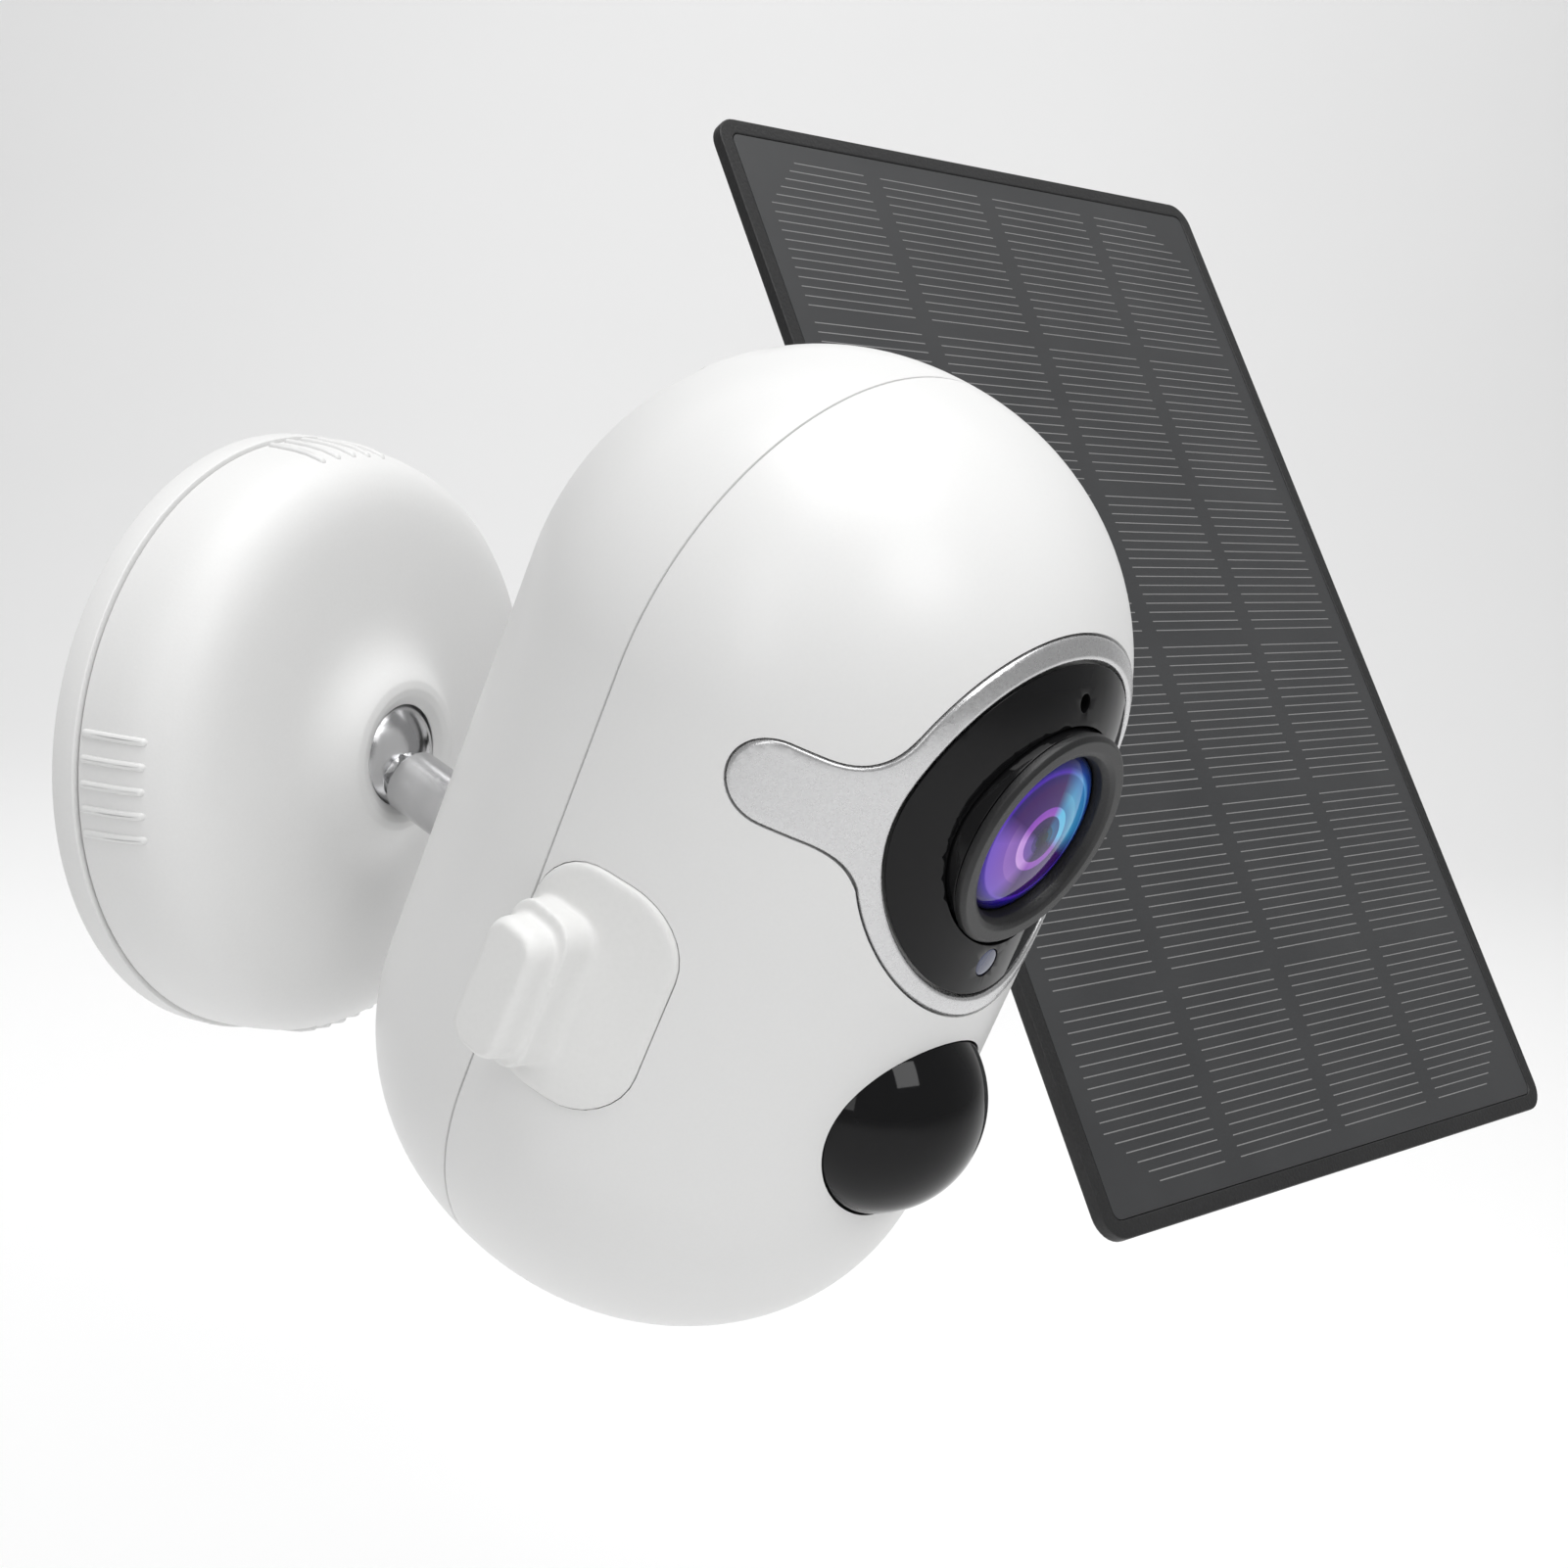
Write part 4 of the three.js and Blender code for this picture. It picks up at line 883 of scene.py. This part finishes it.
def build_base():
    plate = lathe([
        (0, 0), (37.5, 0), (37.5, 3.3), (33.2, 3.3), (33.2, 8.5), (31.4, 8.5), (31.4, 3.3),
        (10.4, 3.3), (10.4, 4.4), (0, 4.4),
    ], 128, radius=0.3)
    obj = carved("base_back_plate_skin", plate, BASE, screw_holes(22, 2.2, 4.2, 2.1, 4.4))
    finished(obj, BASE, BASE_WHITE, "wall_base", ["base_back_plate"], "base_white", weighted=False)

    seat_top = BALL_OUT + math.sqrt(SEAT_R ** 2 - MOUTH_R ** 2)
    seat = []
    for i in range(9):
        z = seat_top + (BALL_OUT + 0.6 - seat_top) * i / 8
        seat.append((math.sqrt(SEAT_R ** 2 - (z - BALL_OUT) ** 2), z))
    flank = [
        (37.0, 3.6), (36.95, 5.5), (36.75, 8.0), (36.45, 10.0), (35.9, 11.9), (34.95, 13.6),
        (33.6, 15.0), (31.8, 16.0), (29.6, 16.6), (26.5, 16.9),
    ]
    face = [
        (22.0, 17.0), (18.0, 17.1), (15.6, 17.35), (13.8, 17.85), (12.3, 18.65), (11.1, 19.6),
        (10.2, 20.5), (9.3, 21.15), (8.3, 21.4), (7.4, 21.2), (6.7, 20.7),
    ]
    inner = [
        (10.9, 14.6), (10.9, 8.0), (12.6, 8.0), (12.6, 14.9), (29.5, 14.4), (33.6, 10.6),
        (34.9, 3.6),
    ]
    cover = lathe(flank + face + seat + inner, 160, closed=True, radius=0.2)
    ribs = []
    radii, heights = zip(*flank)
    for k in range(RIB_GROUPS):
        for i in range(RIBS_IN_GROUP):
            degrees = FIRST_GROUP_DEG + 90 * k + (i - RIBS_IN_GROUP // 2) * RIB_PITCH_DEG
            v, f = grip_rib()
            v[:, 0] += np.interp(v[:, 2], heights, radii)
            ribs.append(transformed((v, f), turn("Z", degrees)))
    piece("base_cover_skin", joined([cover, *ribs]), BASE, BASE_WHITE, "base_cover",
          ["base_cover"], "base_white", sharp=50)

    bowl = []
    for i in range(11):
        a = -math.pi / 2 + 0.42 + i / 10 * (math.pi / 2 - 0.52)
        bowl.append((SEAT_R * math.cos(a), BALL_OUT + SEAT_R * math.sin(a)))
    cup = [(bowl[0][0], 5.6), (10.5, 5.6), (10.5, 14.1), (bowl[-1][0], 14.1), *bowl[::-1]]
    piece("friction_cup_skin", lathe(cup, 64, True, 0.2), BASE, GRIP, "friction_cup",
          ["ball_friction_cup"], "friction_plastic")


THREAD_FROM, THREAD_TO, THREAD_PITCH = 24.2, 34.4, 1.0
THREAD_R, THREAD_ROOT_R = 3.0, 2.6


def ball(share):
    """The ball's profile from its foot up, over a share of a half turn."""
    angles = np.linspace(0, math.pi * share, 30)
    return [(BALL_R * math.sin(a), -BALL_R * math.cos(a)) for a in angles]


def build_stud():
    thread = []
    z = THREAD_FROM
    while z < THREAD_TO:
        thread += [(THREAD_R, z + 0.15), (THREAD_R, z + 0.3)]
        thread += [(THREAD_ROOT_R, z + 0.75), (THREAD_ROOT_R, z + 0.85)]
        z += THREAD_PITCH
    shank = ball(0.87) + [
        (3.1, 7.4), (2.75, 8.6), (3.4, 8.65), (4.0, 9.1), (4.0, 23.9), (3.7, THREAD_FROM),
        *thread, (2.3, 35.0), (0, 35.0),
    ]
    collar = slab(lambda i: hexagon(3.3 - i), [(0.5, 6.7), (0.0, 7.2), (0.0, 9.0)], radius=0.15)
    piece("ball_stud_skin", joined([lathe(shank, 64, radius=0.12), collar]), STUD, STEEL,
          "ball_stud", ["ball_stud"], "steel")


def hexagon(r, n=6):
    """A hexagon with each side cut into n short lengths."""
    corners = [
        np.array([r * math.cos(math.pi / 3 * i), r * math.sin(math.pi / 3 * i)]) for i in range(6)
    ]
    sides = zip(corners, corners[1:] + corners[:1])
    return np.array([a + (b - a) * k / n for a, b in sides for k in range(n)])


# ---- Camera head ----
RIM = ((WALL, 0.10), (0.16, 0.10), (0.05, 0.14), (0.0, 0.26))  # inset, distance from the seam


def shell(front):
    """One casing half: outer skin, rounded seam edge and inner skin."""
    rings, normals = (front_rings, front_normals) if front else (rear_rings, rear_normals)
    side = 1 if front else -1
    edge = rings[0] * (1, 1, 0)
    around = normals[0] * (1, 1, 0)
    around = around / np.linalg.norm(around, axis=1)[:, None]
    rim = [edge - around * inset + np.array([0, 0, SEAM + side * z]) for inset, z in RIM]
    inner, _ = head_rings(front, WALL, rows=12)
    inner = [r + np.array([0, 0, SEAM]) for r in inner[1:]]
    return loft(inner[::-1] + rim + list(rings[1:]), cap=False)


def head_core(front, inset):
    """One half of the head as a solid, set in from its outer surface."""
    rings, _ = head_rings(front, inset, rows=16)
    return loft([r + np.array([0, 0, SEAM]) for r in rings])


TRIM_STEPS, TIP_STEPS, EDGE_STEPS = 40, 25, 8
EAR_TOP, EAR_LOW = 44.65, 36.15
TIP_Y, TIP_Z, TIP_R = 40.4, 74.8, 4.25


def trim_outline(m):
    """Outline of the ring with its two ears, in (p, q), anticlockwise. m is a margin."""
    top, low, tip_r, radius = EAR_TOP + m, EAR_LOW - m, TIP_R + m, TRIM_R + m
    corner_up = np.array([(18.4 + m, 49.6 + m), (20.4 + m, top), (24.2, top)])
    corner_low = np.array([(23.6, low), (20.3 + m, low), (18.6 + m, 33.4 - m)])
    edge_up, edge_low = corner_up[2][0], corner_low[0][0]

    def round_lens(start, end):
        angles = np.linspace(start, end, TRIM_STEPS)
        return [(radius * math.cos(a), LENS_Y + radius * math.sin(a)) for a in angles]

    def angle_of(point):
        return math.atan2(point[1] - LENS_Y, point[0])

    def bend(c):
        return [tuple((1 - t) ** 2 * c[0] + 2 * t * (1 - t) * c[1] + t * t * c[2])
                for t in np.linspace(0, 1, 13)[1:-1]]

    def across(y, z):
        point, _ = FRONT.hit((OUT_SIDE, y, z), (-1, 0, 0))
        return point[0]

    right = round_lens(math.pi / 2, angle_of(corner_up[0])) + bend(corner_up)
    right += [(edge_up + (across(top, TIP_Z) - edge_up) * k / EDGE_STEPS, top)
              for k in range(EDGE_STEPS)]
    for a in np.linspace(math.pi / 2, -math.pi / 2, TIP_STEPS):
        y = TIP_Y + tip_r * math.sin(a)
        right.append((across(y, TIP_Z - tip_r * math.cos(a)), y))
    right += [(edge_low + (across(low, TIP_Z) - edge_low) * (1 - k / EDGE_STEPS), low)
              for k in range(1, EDGE_STEPS + 1)]
    right += bend(corner_low) + round_lens(angle_of(corner_low[2]), -math.pi / 2)
    left = [(-x, y) for x, y in right[1:-1]][::-1]
    return to_flank((right + left)[::-1])


def circle(y, r, n):
    """A circle on the front at height y, in (p, q)."""
    angles = np.arange(n) * 2 * math.pi / n
    return to_flank([(r * math.cos(a), y + r * math.sin(a)) for a in angles])


def port_form(d, margin, profile, radius=0):
    """A form on the port side; profile is [inset, x]."""
    return along_x(slab(lambda i: port_outline(d, margin - i), profile, radius))


CUT_ABOVE, CUT_BEVEL, CUT_SPACING = 3.0, 0.02, 2.4  # cutters for recesses in the skin
TRIM_GAP, TRIM_RECESS = 0.17, 1.35
PAD_GAP, PAD_RECESS = 0.06, 1.5
BAY_WALL, PORT_GAP = 1.5, 0.3
BUTTON_HOLES = ((17.8, 63.2, 1.3), (18.5, 67.3, 1.6))  # u, s, radius
LENS_HOLE_R, DOME_ROOM = 15.6, 1.018
SPEAKER_HOLE_R, SPEAKER_PITCH, SPEAKER_Z = 0.8, 3.2, 67.5
SCREW_HOLE_R = 2.9


def build_front_shell():
    recess = patch(
        trim_outline(TRIM_GAP), [], from_front, CUT_ABOVE, TRIM_RECESS, CUT_BEVEL, CUT_SPACING)
    pocket = patch(
        port_outline(PAD, PAD_GAP), [], from_side, CUT_ABOVE, PAD_RECESS, CUT_BEVEL, CUT_SPACING)
    dome_r = PIR_R * DOME_ROOM
    angles = np.linspace(0, math.pi, 40)
    dome = [(dome_r * math.sin(a), PIR_Z - dome_r * math.cos(a)) for a in angles]
    steps = [("UNION", port_form(BAY, BAY_WALL, [(0, -28.6), (0, -18.5)]))]
    cuts = [port_form(BAY, 0, [(0, -60), (0, -20)])]
    cuts += [port_form(d, PORT_GAP, [(0, -24), (0, -12)]) for d in (USB, CARD)]
    cuts += [along_x(rod(r, -24, -12, u, s)) for u, s, r in BUTTON_HOLES]
    cuts += [
        recess, pocket, rod(LENS_HOLE_R, 60, 110, 0, LENS_Y, 64),
        lathe(dome, 96, radius=0, centre=(0, PIR_Y)),
    ]
    for i in (-1, 0, 1):
        for j in (-1, 0, 1):
            hole = rod(SPEAKER_HOLE_R, -45, -24, segs=16)
            cuts.append(along_y(hole, i * SPEAKER_PITCH, SPEAKER_Z + j * SPEAKER_PITCH))
    steps += [("DIFFERENCE", cut) for cut in cuts]
    front = carved("front_shell_skin", shell(True), HEAD, steps)
    surface_normals(front, HEAD, FRONT)
    finished(front, HEAD, SHELL, "head", ["front_shell"], "shell_white", sharp=None, weighted=False)


def build_rear_shell():
    boss = lathe([(5.2, 25.6), (7.2, 25.6), (8.4, 26.4), (8.4, 30.5), (5.2, 30.5)], 64, True, 0.3)
    steps = [
        ("DIFFERENCE", transformed(rod(5.0, 18, 40), STUD_IN_HEAD)),
        ("UNION", transformed(boss, STUD_IN_HEAD)),
    ]
    steps += [("DIFFERENCE", rod(SCREW_HOLE_R, 10, 46.5, x, y)) for x, y in SCREWS]
    rear = carved("rear_shell_skin", shell(False), HEAD, steps)
    surface_normals(rear, HEAD, REAR)
    finished(rear, HEAD, SHELL, "head", ["rear_shell"], "shell_white", sharp=None, weighted=False)

    tube = [(2.95, 24.0), (2.95, 46.6), (1.6, 46.6), (1.6, 56.3), (4.0, 56.3), (4.0, 24.0)]
    tubes = joined([lathe(tube, 32, True, 0.1, centre=(x, y)) for x, y in SCREWS])
    tubes = carved("screw_tubes", tubes, HEAD, [("INTERSECT", head_core(False, 1.0))])
    finished(tubes, HEAD, SHELL, "head", slot="shell_white")


SENSOR_Y, MICROPHONE_Y = 27.1, 55.5


def build_face():
    hole = circle(LENS_Y, PLATE_R + 0.3, 120)
    ring = patch(trim_outline(0.0), [hole], from_front, 0.12, 1.0, 0.42, 0.9)
    piece("trim_plate_skin", ring, HEAD, SILVER, "head", ["trim_plate"], "trim_silver", sharp=60)

    holes = [
        circle(LENS_Y, RING_R + 0.15, 96), circle(SENSOR_Y, 1.62, 40),
        circle(MICROPHONE_Y, 0.9, 24),
    ]
    plate = patch(circle(LENS_Y, PLATE_R, 120), holes, from_front, -0.25, 3.0, 0.08, 1.1)
    piece("face_plate_skin", plate, HEAD, BLACK_GLOSS, "head",
          ["face_plate"], "black_gloss", sharp=60)

    point, n = from_front(0, SENSOR_Y)
    tilt = Vector((0, 0, 1)).rotation_difference(Vector(n)).to_matrix().to_4x4()
    window_frame = shifted(HEAD, *point) @ np.array(tilt)
    window = lathe([
        (0, -1.4), (1.52, -1.4), (1.52, -0.36), (1.1, -0.29), (0, -0.25),
    ], 48, radius=0.08)
    piece("light_sensor_skin", window, window_frame, SENSOR, "head",
          ["light_sensor_window"], "sensor_window")

    on_lens = shifted(HEAD, 0, LENS_Y, 0)
    collar = lathe([
        (11.0, 80.4), (11.74, 80.4), (11.74, 88.15), (11.35, 88.3), (11.0, 88.3),
    ], 128, True, 0.1)
    piece("lens_collar", collar, on_lens, BLACK_GLOSS, "head", slot="black_gloss")
    ring = lathe([
        (9.3, 78.0), (9.3, 86.9), (9.1, 87.6), (9.25, 88.6), (9.75, 89.25), (10.3, 89.5),
        (11.5, 89.5), (RING_R, 89.1), (RING_R, 88.35), (10.9, 88.3), (10.9, 78.0),
    ], 128, True, 0.12)
    piece("lens_ring_skin", ring, on_lens, BLACK_SATIN, "head", ["lens_ring"], "black_satin")
    glass = lathe([
        (0, 86.4), (9.0, 86.4), (9.05, 87.5), (8.4, 87.85), (7.2, 88.2), (5.4, 88.55), (3.4, 88.78),
        (1.6, 88.9), (0, 88.94),
    ], 96, radius=0.08)
    piece("lens_glass_skin", glass, on_lens, LENS, "head", ["lens_glass"], "lens_coated", sharp=60)

    def quarter(r, start, end, n):
        return [(r * math.cos(a), r * math.sin(a)) for a in np.linspace(start, end, n)]

    outside = [(PIR_R + 1.2, -4.6), (PIR_R + 1.2, -3.2), (PIR_R, -3.2)]
    outside += quarter(PIR_R, 0, math.pi / 2, 36)
    bore = PIR_R - 0.9
    dome = lathe(outside + quarter(bore, math.pi / 2, 0, 24) + [(bore, -4.6)], 128, True, 0)
    piece("pir_dome_skin", dome, shifted(HEAD, 0, PIR_Y, PIR_Z), BLACK_GLOSS, "head",
          ["pir_dome"], "black_gloss", sharp=60)


SOFT_BLOCK = dict(BLOCK, r=2.9)
SOFT_CAP = dict(CAP, r=2.6)
PLUG_PLAY = 0.4
COVER_VOXEL, SOFTEN_FACTOR, SOFTEN_ROUNDS = 0.22, 0.5, 13


def build_port_cover():
    """Soft silicone: its four parts are run together, then smoothed where they meet."""
    pad = patch(port_outline(PAD), [], from_side, 0.55, 1.2, 0.5, 1.2)
    block = port_form(SOFT_BLOCK, 0, [(-0.5, -29.2), (0, -31.0), (0, -34.0)], 0.9)
    cap = port_form(SOFT_CAP, 0, [(0.0, -33.2), (0.1, -36.6), (0.7, -37.4)], 0.9)
    plug = port_form(BAY, -PLUG_PLAY, [(0, -36.0), (0, -24.0)], 0.5)
    plug = carved("plug", plug, HEAD, [("INTERSECT", head_core(True, PLUG_PLAY))])
    obj = scratch(joined([pad, block, cap, taken_back(plug, HEAD)]), HEAD)
    remesh = obj.modifiers.new("run together", "REMESH")
    remesh.mode = "VOXEL"
    remesh.voxel_size = COVER_VOXEL * MM
    smooth = obj.modifiers.new("soften", "SMOOTH")
    smooth.factor = SOFTEN_FACTOR
    smooth.iterations = SOFTEN_ROUNDS
    graph = bpy.context.evaluated_depsgraph_get()
    mesh = bpy.data.meshes.new_from_object(obj.evaluated_get(graph))
    removed(obj)
    cover = linked("port_cover_skin", mesh)
    finished(cover, HEAD, SILICONE, "port_cover", ["port_cover"], "silicone_white",
             sharp=None, weighted=False)


# ---- Solar panel: z = 0 is the frame's front face ----
COLUMNS, COLUMN_W, COLUMN_PITCH, ROW_PITCH, GROUP_GAP = 4, 23.15, 26.95, 1.56, 2.9
GROUPS = (17, 16, 16, 16, 16, 17)  # printed lines in each group
LINE_W, LINE_LIFT = 0.17, 0.02
CORNER_CUT, CUT_PER_ROW = 8.0, 1.6  # the outer lines are shorter near the corners
SHEET_TOP, BACK_TOP, BACK_LOW = -0.16, -4.1, -5.7


def line_rows():
    """Each printed line as (y, lines between it and the nearer end)."""
    heights, y = [], 0.0
    for count in GROUPS:
        for _ in range(count):
            heights.append(y)
            y += ROW_PITCH
        y += GROUP_GAP - ROW_PITCH
    middle, last = heights[-1] / 2, len(heights) - 1
    return [(middle - y, min(i, last - i)) for i, y in enumerate(heights)]


def build_panel():
    outline = inset_rect(0, 0, PANEL_W, PANEL_L, PANEL_CORNER)
    rim = [
        (2.8, -3.8), (0.0, -1.8), (0.0, 0.0), (PANEL_LIP, 0.0), (PANEL_LIP, -2.65), (7.0, -2.65),
        (7.0, -3.8),
    ]
    piece("panel_frame_skin", slab(outline, rim, 0.32, True), PANEL, FRAME_BLACK, "panel",
          ["panel_frame"], "frame_black")
    sheet = slab(outline, [(PANEL_LIP + 0.1, -2.35), (PANEL_LIP + 0.1, SHEET_TOP)], 0.12)
    piece("cell_sheet_skin", sheet, PANEL, CELLS, "panel",
          ["cell_sheet", "panel_glass"], "cell_dark")

    lines = []
    for y, from_end in line_rows():
        cut = max(0.0, CORNER_CUT - CUT_PER_ROW * from_end)
        for c in range(COLUMNS):
            x0 = (c - COLUMNS / 2) * COLUMN_PITCH + (COLUMN_PITCH - COLUMN_W) / 2
            x1 = x0 + COLUMN_W
            x0 += cut if c == 0 else 0
            x1 -= cut if c == COLUMNS - 1 else 0
            lines.append(box(x0, x1, y - LINE_W / 2, y + LINE_W / 2,
                             SHEET_TOP - LINE_LIFT, SHEET_TOP + LINE_LIFT))
    piece("cell_lines", joined(lines), PANEL, LINES, "panel", slot="cell_dark", weighted=False)

    back = slab(outline, [(4.8, BACK_TOP), (4.8, BACK_LOW)], 0.4)
    ribs = [slab(inset_rect(x, 0, 1.6, 144, 0.7), [(0, BACK_TOP), (0, BACK_LOW - 0.9)], 0.25)
            for x in (-34, -17, 17, 34)]
    low = BACK_LOW - 2.4
    boss = lathe([(5.0, BACK_TOP), (8.0, BACK_TOP), (8.0, low), (5.0, low)], 64, True, 0.4)
    piece("panel_back_skin", joined([back, *ribs, boss]), PANEL, FRAME_BLACK, "panel",
          ["panel_back_cover"], "frame_black")
    top = BACK_LOW - 1.2
    shut = slab(inset_rect(0, -46, 46, 30, 3), [(0, BACK_LOW + 0.3), (0.3, top - 9)], 0.8)
    piece("junction_box_skin", shut, PANEL, FRAME_BLACK, "panel", ["junction_box"], "frame_black")
    gland = shifted(PANEL, 0, -61.3, top - 4.6) @ turn("X", 90)
    nut = slab(lambda i: hexagon(4.6 - i), [(0, 0.0), (0, 3.2)], 0.3)
    neck = lathe([
        (1.9, -4.0), (3.1, -4.0), (3.1, 0.0), (3.9, 0.0), (3.9, 3.3), (3.2, 5.6), (1.9, 5.6),
    ], 48, True, 0.3)
    piece("cable_gland_skin", joined([nut, neck]), gland, RUBBER, "panel",
          ["cable_gland"], "rubber")


# ---- Panel wall bracket ----
RIDGE_STEPS, RIDGE_FLATNESS = 6, 1.6


def ridged(profile, count, depth):
    """A turned ring with grip ridges; profile is [radius, z, share of the depth there]."""
    n = count * RIDGE_STEPS
    angles = np.arange(n) * 2 * math.pi / n
    wave = np.clip(np.cos(angles * count) * RIDGE_FLATNESS, -1, 1)
    rings = []
    for r, z, share in profile:
        rr = r - depth * share * (0.5 - 0.5 * wave)
        rings.append(np.column_stack([rr * np.cos(angles), rr * np.sin(angles), np.full(n, z)]))
    return loft(rings, cap=False, closed=True)


def build_bracket():
    out = BRACKET_OUT
    foot = out - 15.2
    body = lathe([
        (0, 0), (26.0, 0), (26.0, 3.6), (24.6, 5.0), (13, 6.2), (9.0, 9.0), (6.6, 13.0),
        (6.0, 17.0), (6.0, foot - 4), (10.0, foot), (10.0, out - 1.2), (8.9, out - 1.2),
        (8.9, foot + 3.4), (0, foot + 3.4),
    ], 96, radius=0.6)
    obj = carved("panel_bracket_skin", body, BRACKET, screw_holes(19, 2.1, 4.0, 4.0, 6.0))
    finished(obj, BRACKET, FRAME_BLACK, "wall_base", ["panel_bracket"], "frame_black",
             weighted=False)
    ring = ridged([
        (10.3, out - 9.0, 0), (11.5, out - 9.0, 0), (11.9, out - 8.6, 1), (11.9, out + 1.6, 1),
        (11.5, out + 2.2, 0.6), (9.6, out + 4.9, 0), (7.65, out + 5.2, 0), (7.15, out + 4.35, 0),
        (7.9, out + 2.6, 0), (8.32, out + 0.6, 0), (8.4, out - 0.8, 0), (10.3, out - 0.9, 0),
    ], 16, 0.9)
    piece("panel_lock_ring_skin", ring, BRACKET, FRAME_BLACK, "panel_lock_ring",
          ["panel_lock_ring"], "frame_black")
    shank = ball(0.89) + [(2.6, 10.4), (3.0, 10.9), (3.0, 18.4), (2.5, 19.0), (0, 19.0)]
    piece("panel_ball_stud_skin", lathe(shank, 64, radius=0.1), PANEL_STUD, STEEL,
          "panel_ball_stud", ["panel_ball_stud"], "steel")
    nut = ridged([
        (3.3, 11.3, 0), (7.0, 11.3, 0), (7.8, 12.0, 1), (7.8, 13.6, 1), (7.0, 14.3, 0),
        (3.3, 14.3, 0),
    ], 14, 0.7)
    piece("panel_thumb_nut_skin", nut, PANEL_STUD, FRAME_BLACK, "panel_thumb_nut",
          ["panel_thumb_nut"], "frame_black")


# ---- CAD nodes that stay: inner pieces and small metal parts ----
KEPT = (
    (SCREW_STEEL, "cup_spring shell_screw_1 shell_screw_2 shell_screw_3 shell_screw_4"),
    (SCREW_STEEL, "pir_sensor usb_port card_slot"),
    (CHIP, "microphone lens_holder image_sensor speaker battery_holder"),
    (BOARD, "main_board antenna port_board"),
    (BRASS, "stud_insert panel_insert"),
    (FILTER, "lens_element ir_cut_filter"),
    (FILM, "battery_1 battery_2"),
    (BUTTON, "reset_button power_button"),
    (RUBBER, "shell_seal"),
    (BLACK_SATIN, "lens_barrel"),
    (GRIP, "panel_friction_cup"),
)
EDGE_WIDTH, EDGE_ANGLE_DEG = 0.12, 40


def dress_kept_nodes():
    for name, material in [(name, material) for material, names in KEPT for name in names.split()]:
        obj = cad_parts[name]
        obj.data.materials.clear()
        obj.data.materials.append(material)
        edge = obj.modifiers.new("edge", "BEVEL")
        edge.width = EDGE_WIDTH * MM
        edge.segments = 2
        edge.limit_method = "ANGLE"
        edge.angle_limit = math.radians(EDGE_ANGLE_DEG)


make_camera()
make_stage()
build_base()
build_stud()
build_front_shell()
build_rear_shell()
build_face()
build_port_cover()
build_panel()
build_bracket()
dress_kept_nodes()
